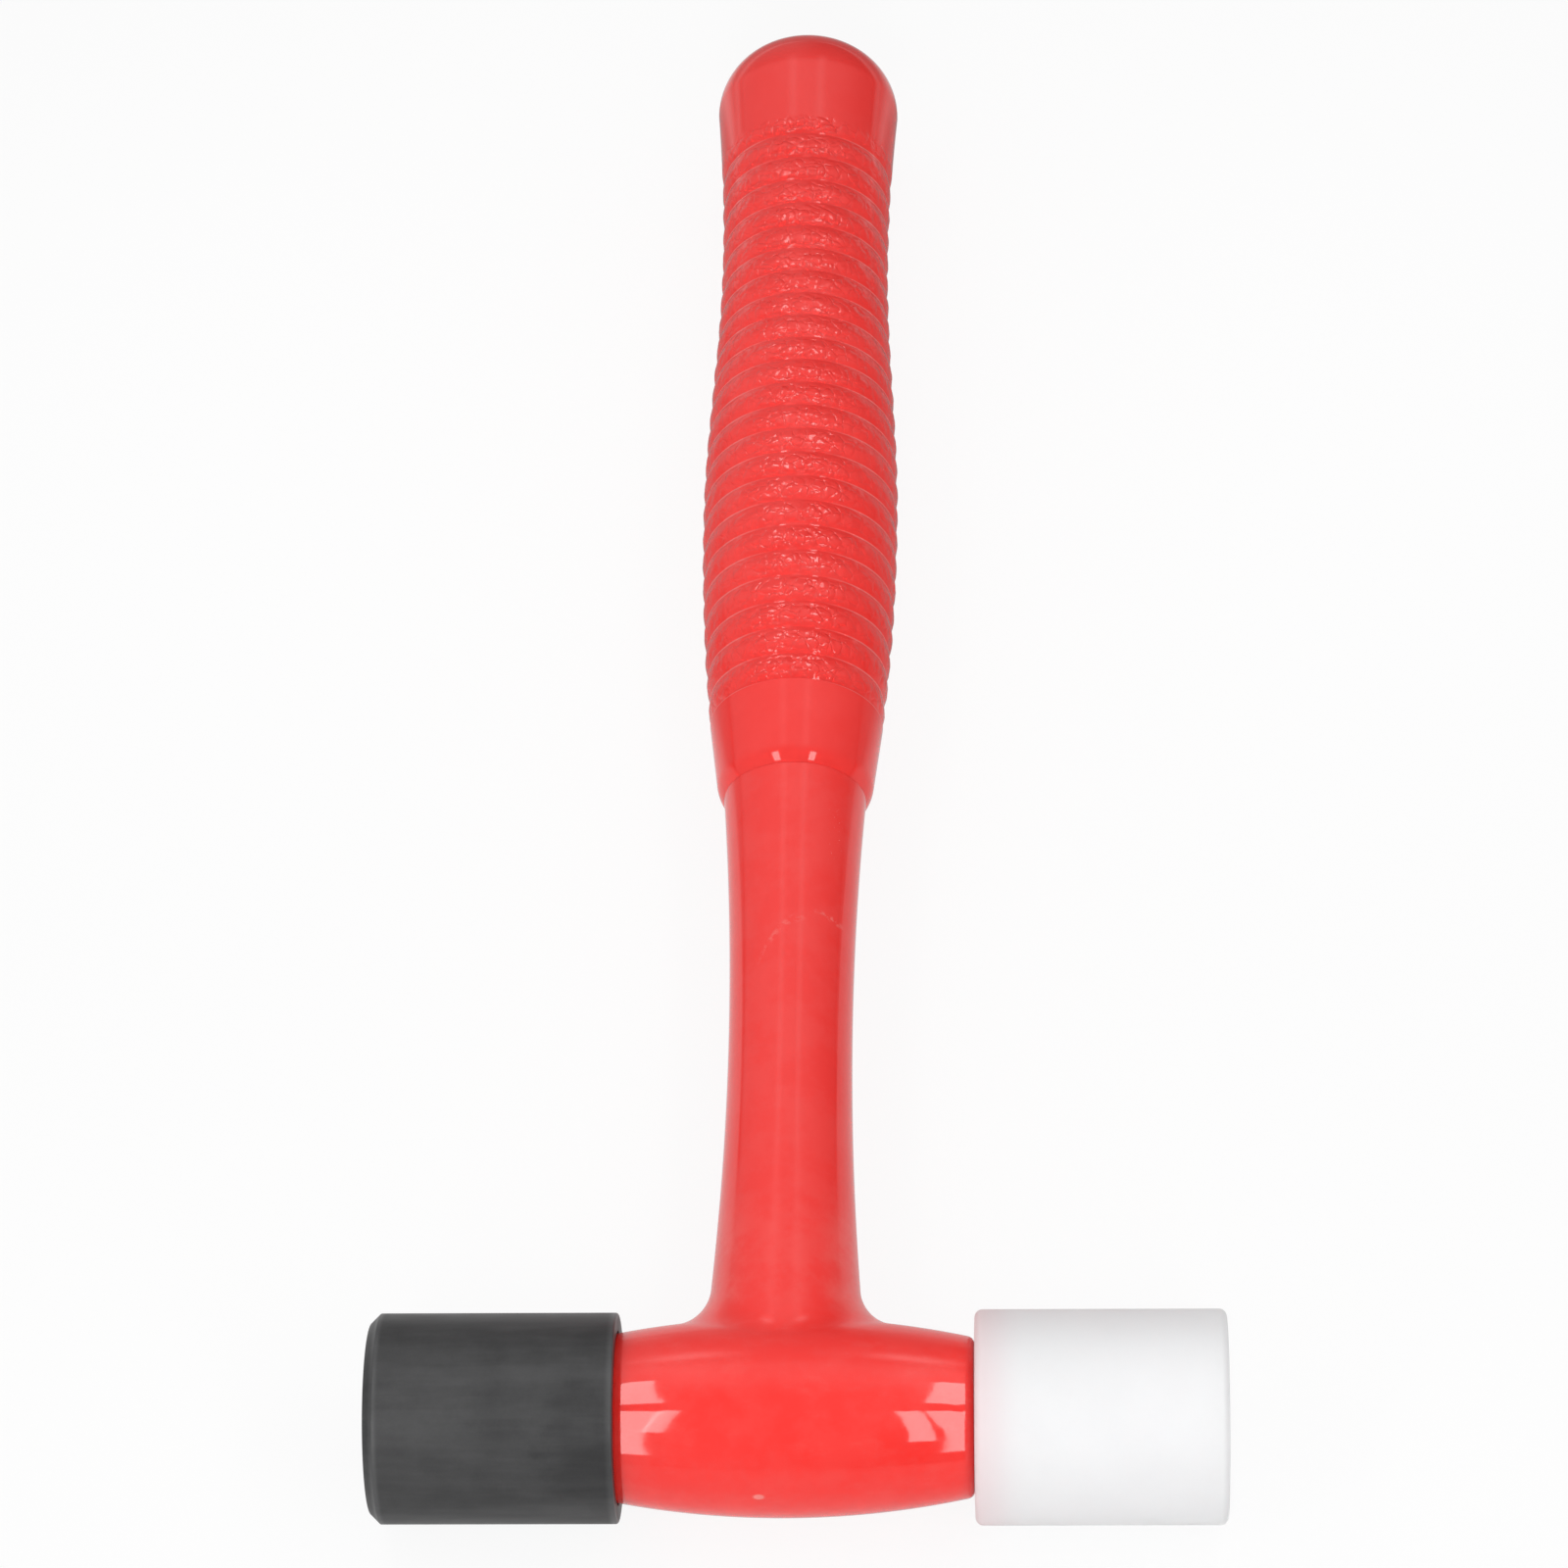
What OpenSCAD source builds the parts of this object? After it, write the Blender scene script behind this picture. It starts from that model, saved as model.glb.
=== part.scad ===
// Soft face hammer lying on its side: a steel core and rod inside one red moulded body,
// a ribbed grip sleeve, and two screw-in striking faces, one soft and one hard.

/* [Head] */
// Length of the red barrel between its two flat ends
barrel_len = 53.4; // [48:0.2:60]
// Diameter of the barrel at its middle
barrel_mid_d = 27.9; // [26.8:0.1:29]
// Diameter that the barrel's curve reaches at its ends
barrel_end_d = 22.2; // [21.4:0.1:23]
// Rounding of the barrel's end edges
barrel_edge_r = 1.2; // [0.6:0.1:1.4]
// Rolling fillet between barrel and shank
root_fillet_r = 7.8; // [6:0.1:9]

/* [Hard face] */
// Diameter of the hard nylon face
hard_face_d = 30.0; // [28:0.1:34]
// Length of the hard face
hard_face_len = 35.1; // [30:0.1:42]
// Rounding of the hard face's edges
hard_face_edge_r = 1.1; // [0.4:0.1:1.6]

/* [Soft face] */
// Diameter of the soft rubber face
soft_face_d = 29.4; // [28:0.1:30]
// Length of the soft face over its skirt
soft_face_len = 34.6; // [31:0.1:42]
// Length of the skirt that wraps the end of the barrel
soft_skirt_len = 3.7; // [2:0.1:5]
// Bevel round the striking end of the soft face
soft_face_bevel = 1.4; // [0.5:0.1:2.5]
// Rounding of the skirt's mouth
soft_mouth_r = 0.4; // [0.2:0.1:0.6]

/* [Face screws] */
// Diameter of the thread on each stud
thread_d = 12.0; // [10:0.5:13]
// Length of thread on each stud
thread_len = 14.0; // [12:0.5:16]
// Length of the stud's shaft inside the face, up to its flange
stud_shaft_len = 8.0; // [6:0.5:10]
// Width across flats of the stud's hexagon flange
stud_flange_w = 18.0; // [16:0.5:20]
// Thickness of the stud's flange
stud_flange_t = 5.0; // [3:0.5:7]
// Outer diameter of the lock washer behind each face
washer_d = 17.6; // [16.6:0.1:18.4]
// Thickness of the lock washer
washer_t = 1.2; // [0.8:0.1:1.6]

/* [Core and rod] */
// Diameter of the steel core inside the barrel
core_d = 18.0; // [17.2:0.2:18.6]
// Depth of the tapped hole in each end of the core
tapped_depth = 17.0; // [16.5:0.5:18.5]
// Diameter of the steel rod inside the handle
rod_d = 10.0; // [8:0.5:11]
// How far the rod reaches past the head's axis
rod_past_axis = 5.0; // [3.5:0.5:6]
// Diameter of the pin that locks the rod in the core
pin_d = 4.0; // [3:0.5:5]

/* [Shank] */
// Diameter of the shank at its waist
shank_waist_d = 18.0; // [16.6:0.1:19]
// Distance from the head's axis to the waist
shank_waist_y = 62.0; // [56:0.5:66]
// Radius of the shank's hollow curve
shank_curve_r = 560; // [500:10:800]

/* [Grip] */
// Distance from the head's axis to the end of the grip
handle_reach = 247.1; // [242:0.1:262]
// Distance from the head's axis to the lip of the sleeve
lip_y = 103.7; // [100:0.1:108]
// Diameter that the sleeve's collar would reach at its lip without a rounding
lip_d = 22.7; // [22.4:0.1:24]
// Rounding of the lip, which runs down to the shank
lip_r = 2.9; // [2:0.1:3.4]
// Length of the smooth collar behind the lip
collar_len = 13.4; // [11:0.1:16]
// Diameter at the back of the collar
collar_d = 25.9; // [25:0.1:27]
// Number of ribs
rib_count = 24; // [18:1:25]
// Spacing of the ribs
rib_pitch = 4.557; // [4:0.01:4.7]
// Depth of the grooves between ribs
groove_depth = 0.45; // [0.25:0.05:0.7]
// Diameter of the palm swell
swell_d = 29.8; // [28:0.1:30]
// Distance from the head's axis to the palm swell
swell_y = 156; // [145:1:168]
// Diameter of the grip's rear waist
rear_waist_d = 26.1; // [25.5:0.1:28]
// Distance from the head's axis to the rear waist
rear_waist_y = 205; // [195:1:212]
// Diameter of the butt's shoulder
butt_d = 28.6; // [27:0.1:30]
// Rounding from the butt's shoulder to the closed end
butt_round_r = 11; // [8:0.1:12]
// Thickness of the closed end
grip_end_wall = 7.0; // [5:0.1:9]
// Diameter of the moulded tang under the sleeve
tang_d = 19.0; // [17:0.1:19.4]

/* [Clearances] */
// Gap between a face and the end of the barrel
seat_gap = 0.05; // [0.02:0.01:0.1]
// Radial clearance of a stud in its tapped hole
thread_gap = 0.05; // [0.02:0.01:0.1]
// Clearance round a washer that turns on a stud
washer_gap = 0.3; // [0.2:0.05:0.4]
// Clearance between the skirt and the barrel
skirt_gap = 0.3; // [0.2:0.05:0.5]
// Gap between a moulding and what it is moulded round
mould_gap = 0.02; // [0.01:0.01:0.05]

/* [Hidden] */

$fn = 96;
curve_fn = 720;
beyond = 1;
tiny = 0.001;

// Head, measured from the point where the head's axis crosses the handle's axis
barrel_end = barrel_len / 2;
barrel_mid_r = barrel_mid_d / 2;
barrel_rise = (barrel_mid_d - barrel_end_d) / 2;
barrel_curve_r = (pow(barrel_end, 2) + pow(barrel_rise, 2)) / (2 * barrel_rise);
barrel_curve_drop = barrel_curve_r - barrel_mid_r;
seat_x = barrel_end + seat_gap;
hard_end_x = seat_x + hard_face_len;
soft_end_x = seat_x + soft_face_len - soft_skirt_len;

// Studs and washers
thread_r = thread_d / 2;
neck_depth = 1;
neck_r = thread_r - neck_depth;
washer_hole_r = thread_r + washer_gap;
washer_seat = washer_t + seat_gap;
washer_room_r = washer_d / 2 + washer_gap;
thread_tip_bevel = 1;
flange_corner_r = stud_flange_w / 2 / cos(30);

// Core
core_r = core_d / 2;
anchor_groove_w = 3;
anchor_groove_depth = 1;
anchor_groove_inset = 7;
anchor_groove_x = barrel_end - anchor_groove_inset;

// Rod and pin
rod_r = rod_d / 2;
rod_bevel = 0.8;
rod_groove_count = 3;
rod_groove_pitch = 8;
rod_groove_w = 2;
rod_groove_depth = 0.6;
pin_end_gap = 0.6;
pin_len = core_d - 2 * pin_end_gap;

// Shank and tang
waist_r = shank_waist_d / 2;
tang_r = tang_d / 2;
tang_end = handle_reach - grip_end_wall - seat_gap;
rod_end_wall = 3;
rod_end = tang_end - rod_end_wall;
tang_bevel = 1;

// Grip
collar_end = lip_y + collar_len;
rib_round_r = (pow(rib_pitch / 2, 2) + pow(groove_depth, 2)) / (2 * groove_depth);
ribs_end = collar_end + rib_count * rib_pitch;
last_rib_y = ribs_end - rib_pitch / 2;
butt_shoulder_y = handle_reach - butt_round_r;
flare_steps = 8;

// Steps of the fillet's surface, round the shank and from shank to barrel
fillet_steps = 48;
fillet_arc_steps = 6;
ball_turns = 6;
fillet_bite = 0.1;
fillet_reach = root_fillet_r - fillet_bite;
fillet_overrun = 2;
fillet_sink = 0.5;
fillet_root = 1.6;

// The hammer lies on its hard face, with its bounding box centred on the origin
place_x = (soft_end_x - hard_end_x) / 2;
place_y = -(handle_reach - hard_face_d / 2) / 2;
place_z = hard_face_d / 2;

// Radius of the barrel at a distance from the handle's axis
function barrel_r(x) = sqrt(pow(barrel_curve_r, 2) - x * x) - barrel_curve_drop;

// Radius of the shank at a distance from the head's axis
function shank_r(y) = waist_r + shank_curve_r - sqrt(pow(shank_curve_r, 2) - pow(y - shank_waist_y, 2));

// Radius of the grip over its ribs
function swell_front(y) =
    swell_d / 2 - (swell_d - collar_d) / 2 * pow((swell_y - y) / (swell_y - collar_end), 2);
function swell_back(y) =
    let (turn = 180 * (y - swell_y) / (rear_waist_y - swell_y))
    rear_waist_d / 2 + (swell_d - rear_waist_d) / 4 * (1 + cos(turn));
function butt_flare(y) =
    rear_waist_d / 2 + (butt_d - rear_waist_d) / 2
    * pow((y - rear_waist_y) / (butt_shoulder_y - rear_waist_y), 2);
function crest_r(y) = y < swell_y ? swell_front(y) : y < rear_waist_y ? swell_back(y) : butt_flare(y);

// Puts a shape that is turned round Z on the handle's axis or on the head's axis
module along_handle() { rotate([-90, 0, 0]) children(); }
module along_head(side) { rotate([0, 90 * side, 0]) children(); }

// Moves the hammer from the crossing of its axes to where it lies
module placed() { translate([place_x, place_y, place_z]) children(); }

// Half section of the barrel, with its ends rounded to meet the curve smoothly
module barrel_section() {
    edge_x = barrel_end - barrel_edge_r;
    edge_r = sqrt(pow(barrel_curve_r - barrel_edge_r, 2) - edge_x * edge_x) - barrel_curve_drop;
    meet_x = edge_x * barrel_curve_r / (barrel_curve_r - barrel_edge_r);
    intersection() {
        translate([-barrel_curve_drop, 0]) circle(r = barrel_curve_r, $fn = curve_fn);
        translate([0, -meet_x]) square([barrel_mid_r + beyond, 2 * meet_x]);
    }
    for (side = [-1, 1])
        translate([edge_r, side * edge_x]) circle(r = barrel_edge_r);
    translate([0, -barrel_end]) square([edge_r, barrel_len]);
}

// Half section of the shank, from inside the barrel to the lip of the sleeve
module shank_section() {
    difference() {
        square([shank_r(0) + beyond, lip_y - seat_gap]);
        translate([waist_r + shank_curve_r, shank_waist_y]) circle(r = shank_curve_r, $fn = curve_fn);
    }
}

// Where a ball of the fillet's radius rests against barrel and shank, at an angle round the shank
function ball_y(angle, y, turns) =
    let (reach = shank_r(y) + fillet_reach)
    let (x = reach * cos(angle), z = reach * sin(angle))
    let (next = sqrt(pow(barrel_r(x) + fillet_reach, 2) - z * z))
    turns == 0 ? next : ball_y(angle, next, turns - 1);

// One closed section of the fillet: its hollow arc, then a root sunk into shank and barrel
function fillet_section(angle) =
    let (y = ball_y(angle, barrel_mid_r + root_fillet_r, ball_turns))
    let (shank = shank_r(y), outward = [cos(angle), 0, sin(angle)])
    let (ball = (shank + fillet_reach) * outward + [0, y, 0])
    let (up = [0, ball[1], ball[2]] / norm([0, ball[1], ball[2]]))
    let (turn = acos(outward * up))
    let (down = cross(cross(up, outward), up))
    let (run = down / max(norm(down), tiny))
    let (corner_z = (shank - fillet_root) * sin(angle))
    concat(
        [(shank - fillet_sink) * outward + [0, y + fillet_overrun, 0]],
        [for (i = [0 : fillet_arc_steps])
            let (t = i / fillet_arc_steps)
            ball - root_fillet_r * (sin((1 - t) * turn) * outward + sin(t * turn) * up) / sin(turn)],
        [ball - root_fillet_r * up + fillet_overrun * run - fillet_sink * up],
        [ball - root_fillet_r * up - fillet_root * up],
        [(shank - fillet_root) * outward
            + [0, sqrt(pow(barrel_mid_r - 2 * fillet_root, 2) - pow(corner_z, 2)), 0]],
        [(shank - fillet_root) * outward + [0, y + fillet_overrun, 0]]
    );

// Ring of the hollow fillet where the shank grows out of the barrel
module root_fillet() {
    sections = [for (i = [0 : fillet_steps - 1]) fillet_section(360 * i / fillet_steps)];
    size = len(sections[0]);
    faces = [for (i = [0 : fillet_steps - 1]) for (j = [0 : size - 1])
        let (next = (i + 1) % fillet_steps, far = (j + 1) % size)
        let (a = i * size + j, b = i * size + far, c = next * size + far, d = next * size + j)
        each [[a, b, c], [a, c, d]]];
    polyhedron(points = [for (section = sections) each section], faces = faces, convexity = 6);
}

// Steel core as a plain turned bar, grown by a gap where something is moulded round it
module core_bar(gap) {
    bar_r = core_r + gap;
    along_head(1) rotate_extrude() difference() {
        translate([0, -barrel_end]) square([bar_r, barrel_len]);
        for (side = [-1, 1])
            translate([bar_r - anchor_groove_depth, side * anchor_groove_x - anchor_groove_w / 2 + gap])
                square([anchor_groove_depth + beyond, anchor_groove_w - 2 * gap]);
    }
}

// Steel rod as a plain turned bar with grooves that key the moulding
module rod_bar(gap) {
    bar_r = rod_r + gap;
    first_groove = (shank_waist_y + lip_y) / 2;
    along_handle() rotate_extrude() difference() {
        polygon([
            [0, -rod_past_axis], [bar_r - rod_bevel, -rod_past_axis], [bar_r, rod_bevel - rod_past_axis],
            [bar_r, rod_end + gap - rod_bevel], [bar_r - rod_bevel, rod_end + gap], [0, rod_end + gap]
        ]);
        for (i = [0 : rod_groove_count - 1])
            translate([bar_r - rod_groove_depth, first_groove + i * rod_groove_pitch + gap])
                square([rod_groove_depth + beyond, rod_groove_w - 2 * gap]);
    }
}

// Stud from its threaded tip at the left to its hexagon flange, grown by a gap inside a face
module stud_shape(gap) {
    shaft_end = washer_seat + stud_shaft_len;
    rotate_extrude() polygon([
        [0, -thread_len], [thread_r - thread_tip_bevel, -thread_len],
        [thread_r, thread_tip_bevel - thread_len], [thread_r, -seat_gap],
        [neck_r + gap, -seat_gap], [neck_r + gap, washer_seat],
        [thread_r + gap, washer_seat], [thread_r + gap, shaft_end], [0, shaft_end]
    ]);
    translate([0, 0, shaft_end - gap])
        cylinder(r = flange_corner_r + gap, h = stud_flange_t + 2 * gap, $fn = 6);
}

// Recess in the back of a face for its washer, with the hole for its stud
module face_socket() {
    translate([0, 0, -beyond]) cylinder(r = washer_room_r, h = washer_seat + beyond);
    stud_shape(mould_gap);
}

// Puts a face, stud or washer at its end of the barrel, measured out from the barrel's end
module at_barrel_end(side) { along_head(side) translate([0, 0, seat_x]) children(); }

// Lock washer that turns freely on the neck of a stud
module lock_washer() {
    difference() {
        cylinder(r = washer_d / 2, h = washer_t);
        translate([0, 0, -beyond]) cylinder(r = washer_hole_r, h = washer_t + 2 * beyond);
    }
}

// Half section of the hard face, with round edges
module hard_face_section() {
    face_r = hard_face_d / 2;
    square([face_r - hard_face_edge_r, hard_face_len]);
    translate([0, hard_face_edge_r]) square([face_r, hard_face_len - 2 * hard_face_edge_r]);
    for (y = [hard_face_edge_r, hard_face_len - hard_face_edge_r])
        translate([face_r - hard_face_edge_r, y]) circle(r = hard_face_edge_r);
}

// Half section of the soft face: a bevelled block with a skirt round the end of the barrel
module soft_face_section() {
    face_r = soft_face_d / 2;
    front = soft_face_len - soft_skirt_len;
    mouth_r = barrel_r(barrel_end - soft_skirt_len) + skirt_gap;
    difference() {
        union() {
            polygon([
                [0, soft_mouth_r - soft_skirt_len], [face_r, soft_mouth_r - soft_skirt_len],
                [face_r, front - soft_face_bevel], [face_r - soft_face_bevel, front], [0, front]
            ]);
            translate([0, -soft_skirt_len]) square([face_r - soft_mouth_r, soft_face_len - beyond]);
            translate([face_r - soft_mouth_r, soft_mouth_r - soft_skirt_len]) circle(r = soft_mouth_r);
        }
        translate([-beyond, -soft_skirt_len - beyond]) square([mouth_r + beyond, soft_skirt_len + beyond]);
    }
}

// Half section of the grip's lip and collar, with a rounding from the collar down to the shank
module collar_section() {
    slope = (collar_d - lip_d) / 2 / collar_len;
    lean = atan(slope);
    mouth_r = shank_r(lip_y);
    rise = mouth_r - lip_d / 2 + lip_r / cos(lean);
    steep = 1 + slope * slope;
    lead = (rise * slope + sqrt(pow(rise * slope, 2) - steep * (rise * rise - lip_r * lip_r))) / steep;
    centre_r = lip_d / 2 + slope * lead - lip_r / cos(lean);
    intersection() {
        translate([centre_r, lip_y + lead]) circle(r = lip_r);
        translate([0, lip_y]) square([lip_d, collar_len]);
    }
    polygon([
        [0, lip_y], [mouth_r, lip_y],
        [centre_r + lip_r * cos(lean), lip_y + lead - lip_r * sin(lean)],
        [collar_d / 2, collar_end], [0, collar_end]
    ]);
}

// Half section of the grip's outside: lip, collar, ribs, butt band and round closed end
module grip_section() {
    collar_section();
    for (i = [0 : rib_count - 1])
        let (y = collar_end + (i + 0.5) * rib_pitch)
        translate([crest_r(y) - rib_round_r, y]) circle(r = rib_round_r);
    polygon(concat(
        [[0, butt_shoulder_y], [0, last_rib_y]],
        [for (i = [0 : flare_steps])
            let (y = last_rib_y + (butt_shoulder_y - last_rib_y) * i / flare_steps)
            [crest_r(y), y]]
    ));
    translate([0, last_rib_y]) square([butt_d / 2 - butt_round_r, handle_reach - last_rib_y]);
    intersection() {
        translate([butt_d / 2 - butt_round_r, butt_shoulder_y]) circle(r = butt_round_r);
        translate([0, butt_shoulder_y]) square([butt_d, butt_round_r + beyond]);
    }
}

module head_core() {
    color("silver") placed() difference() {
        core_bar(0);
        for (side = [-1, 1])
            along_head(side) translate([0, 0, barrel_end - tapped_depth])
                cylinder(r = thread_r + thread_gap, h = tapped_depth + beyond);
        along_handle() translate([0, 0, -rod_past_axis - mould_gap])
            cylinder(r = rod_r + mould_gap, h = rod_past_axis + core_d);
        translate([0, 0, -core_d]) cylinder(d = pin_d + 2 * mould_gap, h = 2 * core_d);
    }
}

module handle_rod() {
    color("lightsteelblue") placed() difference() {
        rod_bar(0);
        translate([0, 0, -rod_d]) cylinder(d = pin_d + 2 * mould_gap, h = 2 * rod_d);
    }
}

module rod_lock_pin() {
    color("gray") placed() translate([0, 0, -pin_len / 2]) cylinder(d = pin_d, h = pin_len);
}

module body_cover() {
    color("red") placed() difference() {
        union() {
            union() {
                along_head(1) rotate_extrude() barrel_section();
                along_handle() rotate_extrude() {
                    shank_section();
                    square([tang_r, tang_end - tang_bevel]);
                    square([tang_r - tang_bevel, tang_end]);
                }
            }
            root_fillet();
        }
        core_bar(mould_gap);
        rod_bar(mould_gap);
    }
}

module grip_sleeve() {
    color("crimson") placed() along_handle() rotate_extrude() difference() {
        grip_section();
        translate([-beyond, 0]) square([tang_r + mould_gap + beyond, tang_end + seat_gap]);
        translate([-handle_reach, 0]) square([handle_reach, handle_reach + beyond]);
    }
}

module soft_face() {
    color("dimgray") placed() at_barrel_end(-1) difference() {
        rotate_extrude() soft_face_section();
        face_socket();
    }
}

module soft_face_stud() { color("silver") placed() at_barrel_end(-1) stud_shape(0); }

module soft_face_washer() { color("gainsboro") placed() at_barrel_end(-1) lock_washer(); }

module hard_face() {
    color("white") placed() at_barrel_end(1) difference() {
        rotate_extrude() hard_face_section();
        face_socket();
    }
}

module hard_face_stud() { color("silver") placed() at_barrel_end(1) stud_shape(0); }

module hard_face_washer() { color("gainsboro") placed() at_barrel_end(1) lock_washer(); }

head_core();
handle_rod();
rod_lock_pin();
body_cover();
grip_sleeve();
soft_face();
soft_face_stud();
soft_face_washer();
hard_face();
hard_face_stud();
hard_face_washer();
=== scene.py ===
"""Looks of a soft face hammer: a red moulded body, a ribbed grip and two screw-in faces."""

import logging
import math
from collections.abc import Mapping, Sequence
from dataclasses import dataclass
from enum import Enum
from typing import Any

import bmesh
import bpy
import numpy as np
from mathutils import Matrix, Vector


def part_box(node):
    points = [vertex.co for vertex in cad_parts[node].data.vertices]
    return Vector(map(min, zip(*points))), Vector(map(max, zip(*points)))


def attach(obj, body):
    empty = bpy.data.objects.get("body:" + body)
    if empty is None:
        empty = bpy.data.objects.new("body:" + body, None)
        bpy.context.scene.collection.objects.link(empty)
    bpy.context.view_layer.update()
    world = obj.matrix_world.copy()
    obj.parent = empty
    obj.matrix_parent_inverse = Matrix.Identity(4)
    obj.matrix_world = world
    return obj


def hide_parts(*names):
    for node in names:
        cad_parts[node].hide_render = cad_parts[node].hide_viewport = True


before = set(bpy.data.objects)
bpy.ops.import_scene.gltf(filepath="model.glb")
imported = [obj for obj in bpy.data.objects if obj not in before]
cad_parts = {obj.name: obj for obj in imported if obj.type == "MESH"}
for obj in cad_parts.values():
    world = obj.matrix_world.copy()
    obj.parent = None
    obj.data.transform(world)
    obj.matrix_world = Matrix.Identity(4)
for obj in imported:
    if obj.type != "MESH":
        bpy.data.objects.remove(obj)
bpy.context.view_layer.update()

LOG = logging.getLogger("hammer")
MM = 0.001
PHOTO_PX = 1600
SENSOR_MM = 36.0
NEAR_M = 2e-6
TINY = 1e-6

Colour = tuple[float, float, float, float]
Triple = tuple[float, float, float]
Socket = bpy.types.NodeSocket
Outline = list[tuple[float, float]]
WHITE: Colour = (1.0, 1.0, 1.0, 1.0)


class Side(Enum):
    """The end of the head that a face is screwed into, as its direction along the head."""

    SOFT = -1
    HARD = 1

    @property
    def word(self) -> str:
        """The word that starts the names of this end's nodes and bodies."""
        return self.name.lower()


class Axis(Enum):
    """The line that a turned piece is made round."""

    HEAD = "head"
    HANDLE = "handle"


def crossing() -> np.ndarray:
    """Finds where the head's axis crosses the handle's axis.

    Returns:
        The point in the row frame, in millimetres.
    """
    grip_low, grip_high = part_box("grip_sleeve")
    face_low, face_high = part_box("hard_face")
    middle_x = (grip_low.x + grip_high.x) / 2
    middle_y = (face_low.y + face_high.y) / 2
    middle_z = (face_low.z + face_high.z) / 2
    return np.array((middle_x, middle_y, middle_z)) / MM


CROSSING = crossing()


class Value:
    """A number in a node tree, with arithmetic that adds Math nodes."""

    def __init__(self, sheet: "NodeSheet", socket: Socket) -> None:
        """Keeps the sheet and the socket that gives the number."""
        self.sheet = sheet
        self.socket = socket

    def __add__(self, other: "Value | float") -> "Value":
        """Sum."""
        return self.sheet.math("ADD", self, other)

    def __radd__(self, other: float) -> "Value":
        """Sum with a plain number in front."""
        return self.sheet.math("ADD", other, self)

    def __sub__(self, other: "Value | float") -> "Value":
        """Difference."""
        return self.sheet.math("SUBTRACT", self, other)

    def __rsub__(self, other: float) -> "Value":
        """Difference from a plain number."""
        return self.sheet.math("SUBTRACT", other, self)

    def __mul__(self, other: "Value | float") -> "Value":
        """Product."""
        return self.sheet.math("MULTIPLY", self, other)

    def __rmul__(self, other: float) -> "Value":
        """Product with a plain number in front."""
        return self.sheet.math("MULTIPLY", other, self)

    def __truediv__(self, other: "Value | float") -> "Value":
        """Quotient."""
        return self.sheet.math("DIVIDE", self, other)

    def __rtruediv__(self, other: float) -> "Value":
        """Quotient of a plain number."""
        return self.sheet.math("DIVIDE", other, self)

    def __pow__(self, other: "Value | float") -> "Value":
        """Power."""
        return self.sheet.math("POWER", self, other)

    def __lt__(self, other: "Value | float") -> "Value":
        """1 where this is smaller, else 0."""
        return self.sheet.math("LESS_THAN", self, other)

    def __ge__(self, other: "Value | float") -> "Value":
        """1 where this is as large or larger, else 0."""
        return 1 - self.sheet.math("LESS_THAN", self, other)

    def __abs__(self) -> "Value":
        """Size without its sign."""
        return self.sheet.math("ABSOLUTE", self)

    def of(self, operation: str) -> "Value":
        """Applies a Math node of one input, such as SINE or FRACT."""
        return self.sheet.math(operation, self)

    def eased(self, low: float, high: float) -> "Value":
        """Rises smoothly from 0 at low to 1 at high.

        Args:
            low: Where the rise starts.
            high: Where it ends, which may be the smaller number.

        Returns:
            The eased number.
        """
        settings = {"interpolation_type": "SMOOTHSTEP", "clamp": True}
        ends = {"Value": self, "From Min": min(low, high), "From Max": max(low, high)}
        eased = Value(self.sheet, self.sheet.node("ShaderNodeMapRange", settings, ends).outputs["Result"])
        return eased if low < high else 1 - eased


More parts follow.
